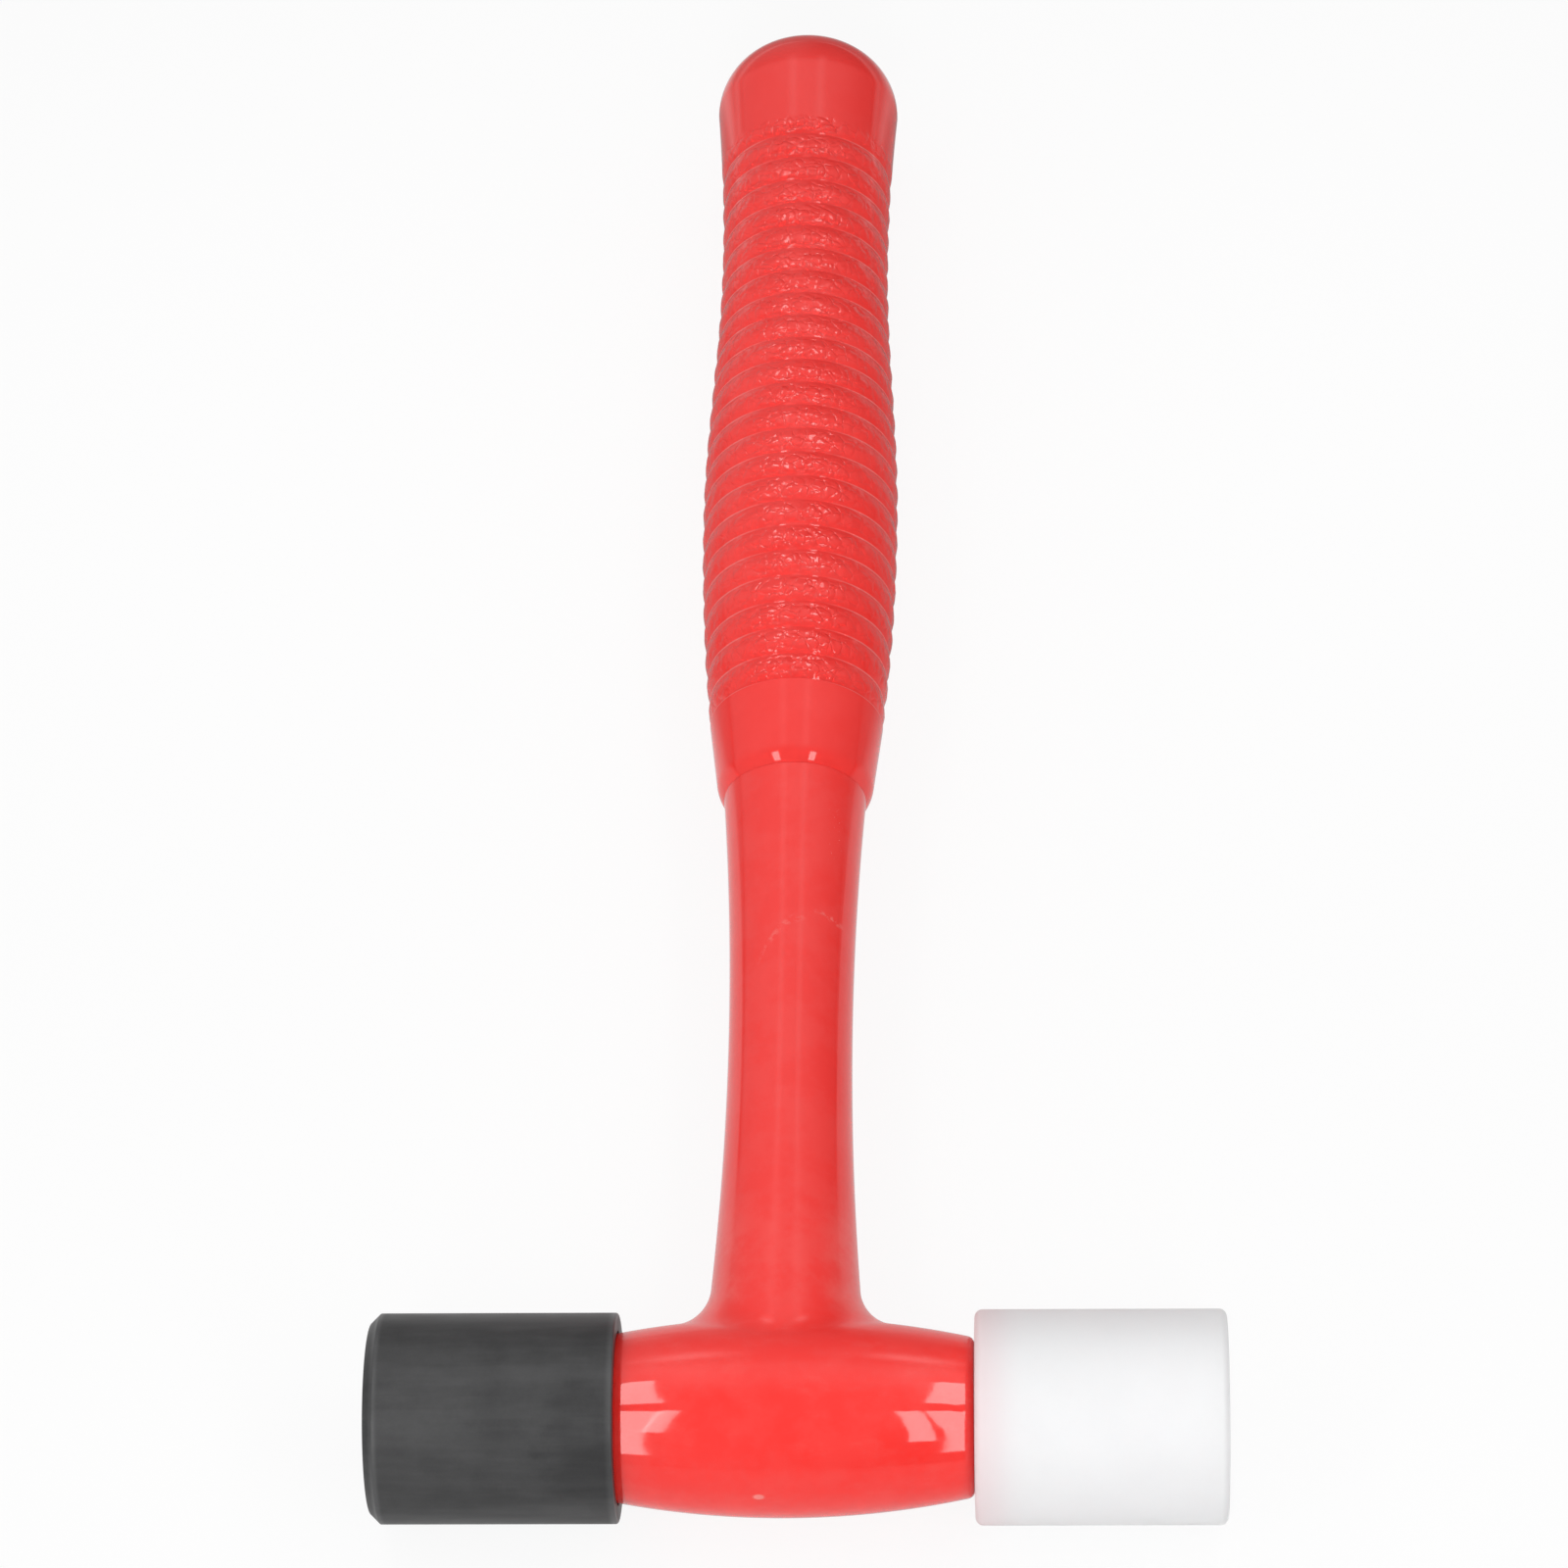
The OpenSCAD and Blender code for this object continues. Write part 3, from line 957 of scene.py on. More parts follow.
def add_piece(name: str, mesh: bpy.types.Mesh) -> bpy.types.Object:
    """Puts a mesh into the scene.

    Args:
        name: The piece's name.
        mesh: Its mesh, in the row frame.

    Returns:
        The new object.
    """
    piece = bpy.data.objects.new(name, mesh)
    bpy.context.scene.collection.objects.link(piece)
    return piece


def wear(piece: bpy.types.Object, finish: Finish) -> None:
    """Gives a piece one finish.

    Args:
        piece: The piece or CAD node.
        finish: The finish.
    """
    piece.data.materials.clear()
    piece.data.materials.append(finish.material())


def hand_over(
    piece: bpy.types.Object, crease_deg: float, finish: Finish, body: str, node: str
) -> None:
    """Shades and dresses a piece and lets it stand for a CAD node.

    Args:
        piece: The piece.
        crease_deg: Angle between faces from which an edge stays sharp.
        finish: Its finish.
        body: The CAD body that carries it.
        node: The CAD node that it stands for.
    """
    piece.data.shade_smooth()
    piece.data.set_sharp_from_angle(angle=math.radians(crease_deg))
    wear(piece, finish)
    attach(piece, body)
    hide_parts(node)
    LOG.info("%s stands for %s on %s, %d faces", piece.name, node, body, len(piece.data.polygons))


@dataclass
class MouldedBody:
    """The red body: a barrel, a waisted shank that flows into it, and the tang under the grip.

    Sizes are in millimetres, and places are measured from the crossing of the axes.
    """

    barrel_len: float = 53.4
    barrel_mid_r: float = 13.95
    barrel_end_r: float = 11.1
    barrel_edge_r: float = 1.2
    fillet_r: float = 7.8
    core_hole_r: float = 9.02
    waist_r: float = 9.0
    waist_y: float = 62.0
    shank_curve_r: float = 560.0
    shank_end_y: float = 103.65
    tang_r: float = 9.5
    tang_end_y: float = 240.05
    tang_bevel: float = 1.0
    hole_bevel: float = 0.3
    front_deg: float = 120.0
    crease_deg: float = 40.0
    steps_round: int = 240
    shank_rows: int = 60
    fillet_rows: int = 16
    barrel_rows: int = 40
    back_rows: int = 60
    edge_rows: int = 8
    ball_rounds: int = 12

    def __post_init__(self) -> None:
        """Works out the barrel's curve and the directions round the shank."""
        self.barrel_end = self.barrel_len / 2
        rise = self.barrel_mid_r - self.barrel_end_r
        self.curve_r = (self.barrel_end**2 + rise**2) / (2 * rise)
        self.curve_drop = self.curve_r - self.barrel_mid_r
        self.edge_x = self.barrel_end - self.barrel_edge_r
        inside_r = self.curve_r - self.barrel_edge_r
        self.edge_centre_r = math.sqrt(inside_r**2 - self.edge_x**2) - self.curve_drop
        self.meet_x = self.edge_x * self.curve_r / inside_r
        self.angles = np.arange(self.steps_round) * 2 * math.pi / self.steps_round

    def barrel_r(self, x: float, stand_off: float = 0.0) -> float:
        """Gives the barrel's radius.

        Args:
            x: Place along the head.
            stand_off: Distance out from the surface.

        Returns:
            The radius round the head's axis.
        """
        return math.sqrt((self.curve_r + stand_off) ** 2 - x * x) - self.curve_drop

    def shank_r(self, y: float, stand_off: float = 0.0) -> float:
        """Gives the shank's radius.

        Args:
            y: Place along the handle.
            stand_off: Distance out from the surface.

        Returns:
            The radius round the handle's axis.
        """
        curve = self.shank_curve_r - stand_off
        return self.waist_r + self.shank_curve_r - math.sqrt(curve**2 - (y - self.waist_y) ** 2)

    def fillet_ball(self, angle: float) -> tuple[np.ndarray, np.ndarray, np.ndarray]:
        """Finds where a ball rolling round the root of the shank rests.

        Args:
            angle: Direction round the shank.

        Returns:
            The ball's centre, and the directions to it from shank and barrel.
        """
        y = self.barrel_mid_r + self.fillet_r
        for _ in range(self.ball_rounds):
            reach = self.shank_r(y, self.fillet_r)
            x, z = reach * math.cos(angle), reach * math.sin(angle)
            y = math.sqrt(self.barrel_r(x, self.fillet_r) ** 2 - z * z)
        outward = np.array((math.cos(angle), 0.0, math.sin(angle)))
        lean = unit(np.array((self.waist_r + self.shank_curve_r - reach, self.waist_y - y)))
        from_shank = lean[0] * outward + np.array((0.0, lean[1], 0.0))
        height = math.hypot(y, z)
        stretch = (height + self.curve_drop) / height
        from_barrel = unit(np.array((x, stretch * y, stretch * z)))
        return np.array((x, y, z)), from_shank, from_barrel

    def on_barrel(self, x: float, turn: float) -> Triple:
        """Gives a point on the barrel's curve."""
        radius = self.barrel_r(x)
        return x, radius * math.cos(turn), radius * math.sin(turn)

    def build_shank(self, shell: Shell) -> list[int]:
        """Builds tang, shank and root fillet.

        Args:
            shell: The mesh in the making.

        Returns:
            The ring where the fillet meets the barrel.
        """
        angles = self.angles
        balls = [self.fillet_ball(float(angle)) for angle in angles]
        tang = [
            (self.tang_end_y, self.tang_r - self.tang_bevel),
            (self.tang_end_y - self.tang_bevel, self.tang_r),
            (self.shank_end_y, self.tang_r),
            (self.shank_end_y, self.shank_r(self.shank_end_y)),
        ]
        rows = [
            shell.ring(np.stack((r * np.cos(angles), np.full(len(angles), y), r * np.sin(angles)), axis=1))
            for y, r in tang
        ]
        shell.fan(rows[0], (0, self.tang_end_y, 0))
        roots = [centre - self.fillet_r * from_shank for centre, from_shank, _ in balls]
        for share in shares(self.shank_rows)[:-1]:
            row = []
            for angle, root in zip(angles, roots):
                y = self.shank_end_y + share * (root[1] - self.shank_end_y)
                r = self.shank_r(y)
                row.append((r * math.cos(angle), y, r * math.sin(angle)))
            rows.append(shell.ring(row))
        for share in shares(self.fillet_rows, 0):
            rows.append(shell.ring([c - self.fillet_r * arc_between(a, b, share) for c, a, b in balls]))
        for first, second in zip(rows, rows[1:]):
            shell.band(first, second)
        return rows[-1]

    def build_barrel(self, shell: Shell, root: Sequence[int]) -> None:
        """Builds the barrel round the root of the shank, with its ends and the hole for its core.

        Args:
            shell: The mesh in the making.
            root: The ring where the fillet meets the barrel.
        """
        front = math.radians(self.front_deg)
        feet = [np.array(shell.points[i]) for i in root]
        starts = [(foot[0], math.atan2(foot[2], foot[1])) for foot in feet]
        frame_points = []
        for angle in self.angles:
            reach = max(abs(math.cos(angle)), abs(math.sin(angle)))
            frame_points.append((self.meet_x * math.cos(angle) / reach, front * math.sin(angle) / reach))
        row = list(root)
        for share in shares(self.barrel_rows):
            mixed = [
                self.on_barrel((1 - share) * a[0] + share * b[0], (1 - share) * a[1] + share * b[1])
                for a, b in zip(starts, frame_points)
            ]
            following = shell.ring(mixed)
            shell.band(row, following)
            row = following
        eighth = self.steps_round // 8
        top = row[eighth : 3 * eighth + 1]
        bottom = (row[5 * eighth : 7 * eighth + 1])[::-1]
        backs = [top]
        for share in shares(self.back_rows)[:-1]:
            turn = front + (2 * math.pi - 2 * front) * share
            places = (frame_points[eighth + i][0] for i in range(len(top)))
            backs.append(shell.ring([self.on_barrel(x, turn) for x in places]))
        backs.append(bottom)
        for first, second in zip(backs, backs[1:]):
            shell.band(first, second, closed=False)
        right = row[7 * eighth :] + row[: eighth + 1] + [back[0] for back in backs[1:-1]]
        left = (row[3 * eighth : 5 * eighth + 1])[::-1] + [back[-1] for back in backs[1:-1]]
        inner = [self.build_end(shell, right, 1), self.build_end(shell, left, -1)]
        shell.band(inner[0], inner[1])

    def build_end(self, shell: Shell, rim: Sequence[int], side: int) -> list[int]:
        """Builds the rounded edge and flat end of the barrel.

        Args:
            shell: The mesh in the making.
            rim: The ring where the barrel's curve ends.
            side: Direction along the head.

        Returns:
            The ring at the edge of the core's hole.
        """
        turns = [math.atan2(shell.points[i][2], shell.points[i][1]) for i in rim]
        start = math.asin(self.meet_x / self.curve_r)
        levels = []
        for share in shares(self.edge_rows):
            lean = start + (math.pi / 2 - start) * share
            radius = self.edge_centre_r + self.barrel_edge_r * math.cos(lean)
            levels.append((self.edge_x + self.barrel_edge_r * math.sin(lean), radius))
        levels.append((self.barrel_end, self.core_hole_r + self.hole_bevel))
        levels.append((self.barrel_end - self.hole_bevel, self.core_hole_r))
        row = list(rim)
        for x, radius in levels:
            following = shell.ring([(side * x, radius * math.cos(t), radius * math.sin(t)) for t in turns])
            shell.band(row, following)
            row = following
        return row

    def build(self) -> None:
        """Builds and dresses the body."""
        shell = Shell()
        self.build_barrel(shell, self.build_shank(shell))
        piece = add_piece("moulded_body", shell.mesh("moulded_body"))
        hand_over(piece, self.crease_deg, MouldedRed(), "handle_and_head", "body_cover")


@dataclass
class RibbedGrip:
    """The red sleeve: a rounded lip, a smooth collar, grained ribs, a butt band and a round end.

    Sizes are in millimetres, and places are measured from the crossing of the axes.
    """

    lip_y: float = 103.7
    lip_r: float = 11.35
    lip_round: float = 5.8
    lip_mouth_r: float = 10.55
    collar_end_y: float = 117.1
    collar_r: float = 12.95
    rib_count: int = 24
    rib_pitch: float = 4.557
    groove_depth: float = 0.45
    rib_shape: float = 1.7
    swell_y: float = 156.0
    swell_r: float = 14.9
    rear_waist_y: float = 205.0
    rear_waist_r: float = 13.05
    shoulder_y: float = 236.1
    shoulder_r: float = 14.3
    end_round: float = 11.0
    bore_r: float = 9.52
    bore_end_y: float = 240.1
    grain_depth: float = 0.11
    grain_size: float = 1.7
    grain_octaves: float = 1.5
    calm_from: float = 1.5
    calm_to: float = 0.5
    nudge: float = 1e-4
    crease_deg: float = 34.0
    steps_round: int = 256
    steps_per_rib: int = 12
    lip_rows: int = 14
    band_rows: int = 24
    end_rows: int = 28
    weld_m: float = 4e-6

    def band_r(self, y: float) -> float:
        """Gives the radius of the band between the last rib and the shoulder."""
        share = (y - self.rear_waist_y) / (self.shoulder_y - self.rear_waist_y)
        return self.rear_waist_r + (self.shoulder_r - self.rear_waist_r) * share**2

    def last_crest_y(self) -> float:
        """Gives the crest of the last rib, from which the band goes on without a groove."""
        return self.collar_end_y + (self.rib_count - 0.5) * self.rib_pitch

    def lip_path(self) -> Outline:
        """Rounds the lip from the surface of the shank up to the slope of the collar.

        Returns:
            Places along the handle with their radius.
        """
        slope = (self.collar_r - self.lip_r) / (self.collar_end_y - self.lip_y)
        lean = math.atan(slope)
        rise = self.lip_mouth_r - self.lip_r + self.lip_round / math.cos(lean)
        steep = 1 + slope**2
        root = math.sqrt((rise * slope) ** 2 - steep * (rise**2 - self.lip_round**2))
        lead = (rise * slope + root) / steep
        centre_r = self.lip_r + slope * lead - self.lip_round / math.cos(lean)
        first = math.asin(lead / self.lip_round)
        path = []
        for share in shares(self.lip_rows, 0):
            turn = first + (lean - first) * share
            along = self.lip_y + lead - self.lip_round * math.sin(turn)
            path.append((along, centre_r + self.lip_round * math.cos(turn)))
        return path

    def smooth_ends(self) -> bpy.types.Mesh:
        """Builds the lip, the collar and the bore, and the band and round end, with nothing between.

        Returns:
            The mesh, open where the ribs go.
        """
        shell = Shell()
        front = [(self.bore_end_y, 0.0), (self.bore_end_y, self.bore_r), (self.lip_y, self.bore_r)]
        front += self.lip_path()
        front += [(self.collar_end_y, self.collar_r), (self.collar_end_y, self.collar_r - self.groove_depth)]
        shell.turned(front, Axis.HANDLE, self.steps_round)
        levels = np.linspace(self.last_crest_y(), self.shoulder_y, self.band_rows)
        back = [(float(y), self.band_r(float(y))) for y in levels]
        for share in shares(self.end_rows):
            turn = math.pi / 2 * share
            radius = self.shoulder_r + self.end_round * (math.cos(turn) - 1)
            back.append((self.shoulder_y + self.end_round * math.sin(turn), radius))
        back.append((self.shoulder_y + self.end_round, 0.0))
        shell.turned(back, Axis.HANDLE, self.steps_round)
        return shell.mesh("grip")

    def rib_tree(self) -> MeshTree:
        """Makes the tree that adds the ribs.

        Returns:
            The tree.
        """
        tree = MeshTree(
            "grip_ribs",
            {
                "Rib Count": self.rib_count,
                "Rib Pitch": self.rib_pitch,
                "Groove Depth": self.groove_depth,
                "Rib Shape": self.rib_shape,
                "First Groove": self.collar_end_y,
                "Collar Radius": self.collar_r,
                "Swell Place": self.swell_y,
                "Swell Radius": self.swell_r,
                "Rear Waist Place": self.rear_waist_y,
                "Rear Waist Radius": self.rear_waist_r,
                "Shoulder Place": self.shoulder_y,
                "Shoulder Radius": self.shoulder_r,
                "Grain Depth": self.grain_depth,
                "Grain Size": self.grain_size,
                "Grain Octaves": self.grain_octaves,
                "Steps Round": self.steps_round,
                "Steps Per Rib": self.steps_per_rib,
                "Finish": GrainedRed().material(),
            },
        )
        sheet = tree.sheet
        rows = (tree.take("Rib Count") - 0.5) * tree.take("Steps Per Rib") + 1
        columns = tree.take("Steps Round") + 1
        sheet_size = {"Size X": 1.0, "Size Y": 1.0, "Vertices X": columns, "Vertices Y": rows}
        grid = sheet.node("GeometryNodeMeshGrid", {}, sheet_size)
        x, y, _ = sheet.split(sheet.node("GeometryNodeInputPosition").outputs[0])
        angle = (x + 0.5) * (2 * math.pi)
        ribs_along = (y + 0.5) * (tree.take("Rib Count") - 0.5)
        along = tree.take("First Groove") + ribs_along * tree.take("Rib Pitch")
        from_crest = abs((ribs_along - (ribs_along + self.nudge).of("FLOOR")) * 2 - 1)
        rise = 1 - from_crest ** tree.take("Rib Shape")
        crest = self.crest(tree, along)
        sine, cosine = angle.of("SINE"), angle.of("COSINE")
        grain = {
            "Vector": sheet.vector(sine * crest, along, cosine * crest),
            "Scale": 1 / tree.take("Grain Size"),
            "Detail": tree.take("Grain Octaves"),
        }
        cells = sheet.node("ShaderNodeTexNoise", {}, grain)
        ripple = (sheet.out(cells, 0) - 0.5) * rise * tree.take("Grain Depth") * 2
        last = self.last_crest_y()
        edge = along.eased(last - self.calm_to, last - self.calm_from)
        radius = crest - tree.take("Groove Depth") * (1 - rise) + ripple * edge
        spot = (sine * radius, along, cosine * radius)
        place = sheet.vector(*((part + float(zero)) * MM for part, zero in zip(spot, CROSSING)))
        wrapped = {"Geometry": grid.outputs["Mesh"], "Position": place}
        shaped = sheet.node("GeometryNodeSetPosition", {}, wrapped)
        weld = {"Geometry": tree.joined(shaped.outputs[0]), "Distance": self.weld_m}
        tree.close(sheet.node("GeometryNodeMergeByDistance", {}, weld).outputs[0])
        return tree

    @staticmethod
    def crest(tree: MeshTree, along: Value) -> Value:
        """Gives the radius over the ribs: a palm swell, a rear waist and a flare to the butt.

        Args:
            tree: The tree with the sizes.
            along: Place along the handle.

        Returns:
            The radius.
        """
        swell_y, swell_r = tree.take("Swell Place"), tree.take("Swell Radius")
        waist_y, waist_r = tree.take("Rear Waist Place"), tree.take("Rear Waist Radius")
        before = (swell_y - along) / (swell_y - tree.take("First Groove"))
        front = swell_r - (swell_r - tree.take("Collar Radius")) * before * before
        turn = (along - swell_y) / (waist_y - swell_y) * math.pi
        back = waist_r + (swell_r - waist_r) * 0.5 * (turn.of("COSINE") + 1)
        after = (along - waist_y) / (tree.take("Shoulder Place") - waist_y)
        flare = waist_r + (tree.take("Shoulder Radius") - waist_r) * after * after
        in_front = along < swell_y
        in_rear = along >= waist_y
        return front * in_front + flare * in_rear + back * (1 - in_front - in_rear)

    def build(self) -> None:
        """Builds and dresses the grip."""
        piece = add_piece("ribbed_grip", self.smooth_ends())
        self.rib_tree().bake(piece)
        close_mesh(piece.data)
        hand_over(piece, self.crease_deg, GrainedRed(), "handle_and_head", "grip_sleeve")


@dataclass
class StrikingFace:
    """A screw-in face with its threaded stud and the lock washer on the stud's neck.

    Sizes are in millimetres. The seat is measured from the crossing of the axes, the rest from the seat.
    """

    side: Side
    radius: float
    length: float
    finish: Finish
    slot: str
    seat_x: float = 26.75
    front_round: float = 0.0
    front_bevel: float = 0.0
    skirt_len: float = 0.0
    skirt_r: float = 0.0
    back_round: float = 0.4
    washer_room_r: float = 9.1
    washer_seat: float = 1.25
    washer_t: float = 1.2
    washer_r: float = 8.8
    washer_hole_r: float = 6.3
    thread_r: float = 6.0
    thread_pitch: float = 1.75
    thread_len: float = 14.0
    thread_depth: float = 0.95
    neck_r: float = 5.0
    shaft_len: float = 8.0
    flange_w: float = 18.0
    flange_t: float = 5.0
    bevel_round: float = 0.25
    skirt_round: float = 0.2
    room_round: float = 0.15
    edge_round: float = 0.1
    shaft_play: float = 0.02
    tip_len: float = 0.8
    tip_taper: float = 0.6
    run_out: float = 1.0
    root_share: float = 1.1
    teeth: int = 14
    tooth_len: float = 1.3
    tooth_w: float = 1.7
    tooth_twist: float = 0.35
    tooth_t_share: float = 0.45
    tooth_reach: float = 0.75
    ring_start: float = 1.1
    ring_inset: float = 0.12
    block_crease_deg: float = 35.0
    steel_crease_deg: float = 30.0
    steps_round: int = 192
    steel_steps_round: int = 96
    steps_per_turn: int = 40
    ridge_corners: int = 4
    hex_sides: int = 6
    block_corner_steps: int = 8
    stud_corner_steps: int = 4
    washer_corner_steps: int = 3
    middle_share: float = 0.6

    def __post_init__(self) -> None:
        """Names what belongs to this end and works out where the stud's shaft ends."""
        self.word = self.side.word
        self.striker = f"{self.word}_striker"
        self.shaft_end = self.washer_seat + self.shaft_len

    def out_from_seat(self, path: Outline) -> Outline:
        """Moves an outline that is measured out from the barrel's end to its place along the head.

        Args:
            path: Distances from the barrel's end with their radius.

        Returns:
            Places along the head with their radius.
        """
        return [(self.side.value * (self.seat_x + along), radius) for along, radius in path]

    def build_block(self) -> None:
        """Builds the face itself."""
        end = self.length - self.skirt_len
        front = [(end, self.radius, self.front_round)]
        if self.front_bevel:
            front = [
                (end, self.radius - self.front_bevel, self.bevel_round),
                (end - self.front_bevel, self.radius, self.bevel_round),
            ]
        back = [(-self.skirt_len, self.radius, self.back_round)]
        if self.skirt_len:
            back += [(along, self.skirt_r, self.skirt_round) for along in (-self.skirt_len, 0)]
        shaft_r = self.thread_r + self.shaft_play
        socket = [
            (0, self.washer_room_r, self.room_round),
            (self.washer_seat, self.washer_room_r, self.edge_round),
            (self.washer_seat, shaft_r, 0),
            (self.shaft_end, shaft_r, 0),
            (self.shaft_end, 0, 0),
        ]
        middle = [(end, 0, 0), (end, self.radius * self.middle_share, 0)]
        path = rounded_path([*middle, *front, *back, *socket], self.block_corner_steps)
        shell = Shell()
        shell.turned(self.out_from_seat(path), Axis.HEAD, self.steps_round)
        name = f"{self.word}_striking_face"
        piece = add_piece(name, shell.mesh(name))
        hand_over(piece, self.block_crease_deg, self.finish, self.striker, f"{self.word}_face")

    def thread_tree(self) -> MeshTree:
        """Makes the tree that winds the thread's ridge round the stud.

        Returns:
            The tree.
        """
        turns = (self.thread_len - 2 * self.run_out) / self.thread_pitch
        tree = MeshTree(
            "stud_thread",
            {
                "Thread Radius": self.thread_r * MM,
                "Thread Depth": self.thread_depth * MM,
                "Thread Turns": turns,
                "Thread Length": turns * self.thread_pitch * MM,
                "Steps Per Turn": self.steps_per_turn,
                "Finish": PlatedSteel().material(),
            },
        )
        sheet = tree.sheet
        middle = tree.take("Thread Radius") - tree.take("Thread Depth")
        helix = sheet.node(
            "GeometryNodeCurveSpiral",
            {},
            {
                "Resolution": tree.take("Steps Per Turn"),
                "Rotations": tree.take("Thread Turns"),
                "Start Radius": middle,
                "End Radius": middle,
                "Height": tree.take("Thread Length"),
            },
        )
        upright = sheet.node("GeometryNodeSetCurveNormal", {"mode": "Z_UP"}, {"Curve": helix.outputs[0]})
        section = {"Resolution": self.ridge_corners, "Radius": tree.take("Thread Depth")}
        ridge = sheet.node("GeometryNodeCurvePrimitiveCircle", {"mode": "RADIUS"}, section)
        wound = sheet.node(
            "GeometryNodeCurveToMesh",
            {},
            {"Curve": upright.outputs[0], "Profile Curve": ridge.outputs[0], "Fill Caps": True},
        )
        tip_x = self.side.value * (self.seat_x - self.thread_len + self.run_out)
        tree.close(tree.joined(tree.on_head(wound.outputs[0], tip_x, self.side.value * math.pi / 2)))
        return tree

    def build_stud(self) -> None:
        """Builds the stud, with its thread, neck, shaft and hexagon flange."""
        root_r = self.thread_r - self.thread_depth * self.root_share
        soft = self.edge_round
        path = rounded_path(
            [
                (-self.thread_len, 0, 0),
                (-self.thread_len, root_r - self.tip_taper, 0),
                (-self.thread_len + self.tip_len, root_r, 0),
                (-soft, root_r, 0),
                (-soft, self.neck_r, soft),
                (self.washer_seat, self.neck_r, soft),
                (self.washer_seat, self.thread_r, soft),
                (self.shaft_end, self.thread_r, 0),
                (self.shaft_end, 0, 0),
            ],
            self.stud_corner_steps,
        )
        shell = Shell()
        shell.turned(self.out_from_seat(path), Axis.HEAD, self.steel_steps_round)
        corner_r = self.flange_w / 2 / math.cos(math.pi / self.hex_sides)
        low, high = self.shaft_end, self.shaft_end + self.flange_t
        flange = [(low, 0.0), (low, corner_r), (high, corner_r), (high, 0.0)]
        shell.turned(self.out_from_seat(flange), Axis.HEAD, self.hex_sides)
        piece = add_piece(f"{self.word}_stud", shell.mesh(f"{self.word}_stud"))
        self.thread_tree().bake(piece)
        close_mesh(piece.data)
        node = f"{self.word}_face_stud"
        hand_over(piece, self.steel_crease_deg, PlatedSteel(), self.striker, node)

    def tooth_tree(self) -> MeshTree:
        """Makes the tree that sets twisted teeth round the washer's hole.

        Returns:
            The tree.
        """
        tree = MeshTree(
            "washer_teeth",
            {
                "Teeth": self.teeth,
                "Ring Radius": (self.washer_hole_r + self.tooth_reach) * MM,
                "Tooth Length": self.tooth_len * MM,
                "Tooth Width": self.tooth_w * MM,
                "Tooth Thickness": self.washer_t * self.tooth_t_share * MM,
                "Tooth Twist": self.tooth_twist,
                "Finish": SpringSteel().material(),
            },
        )
        sheet = tree.sheet
        circle = sheet.node(
            "GeometryNodeMeshCircle", {}, {"Vertices": tree.take("Teeth"), "Radius": tree.take("Ring Radius")}
        )
        size = sheet.vector(*(tree.take(f"Tooth {way}") for way in ("Length", "Width", "Thickness")))
        block = sheet.node("GeometryNodeMeshCube", {}, {"Size": size})
        x, y, _ = sheet.split(sheet.node("GeometryNodeInputPosition").outputs[0])
        turn = sheet.vector(tree.take("Tooth Twist"), 0.0, sheet.math("ARCTAN2", y, x))
        teeth = sheet.node(
            "GeometryNodeInstanceOnPoints",
            {},
            {"Points": circle.outputs[0], "Instance": block.outputs[0], "Rotation": turn},
        )
        middle_x = self.side.value * (self.seat_x + self.washer_t / 2)
        tree.close(tree.joined(tree.on_head(teeth.outputs[0], middle_x, math.pi / 2)))
        return tree

    def build_washer(self) -> None:
        """Builds the toothed lock washer."""
        ring_r, outer_r, soft = self.washer_hole_r + self.ring_start, self.washer_r, self.edge_round
        low, high = self.washer_t * self.ring_inset, self.washer_t * (1 - self.ring_inset)
        corners = [(low, ring_r, 0), (low, outer_r, soft), (high, outer_r, soft), (high, ring_r, 0)]
        loop = rounded_path(corners, self.washer_corner_steps)
        shell = Shell()
        shell.turned(self.out_from_seat(loop), Axis.HEAD, self.steel_steps_round, loop=True)
        piece = add_piece(f"{self.word}_lock_washer", shell.mesh(f"{self.word}_lock_washer"))
        self.tooth_tree().bake(piece)
        close_mesh(piece.data)
        body, node = f"{self.word}_washer", f"{self.word}_face_washer"
        hand_over(piece, self.steel_crease_deg, SpringSteel(), body, node)

    def build(self) -> None:
        """Builds the face with its stud and washer."""
        self.build_block()
        self.build_stud()
        self.build_washer()


@dataclass(frozen=True)
class SteelInsert:
    """The steel core, rod and pin inside the red body, which keep their CAD meshes."""

    nodes: tuple[str, ...] = ("head_core", "handle_rod", "rod_lock_pin")

    def build(self) -> None:
        """Dresses the three nodes."""
        for node in self.nodes:
            wear(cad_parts[node], TurnedSteel())
            LOG.info("%s keeps its CAD mesh", node)


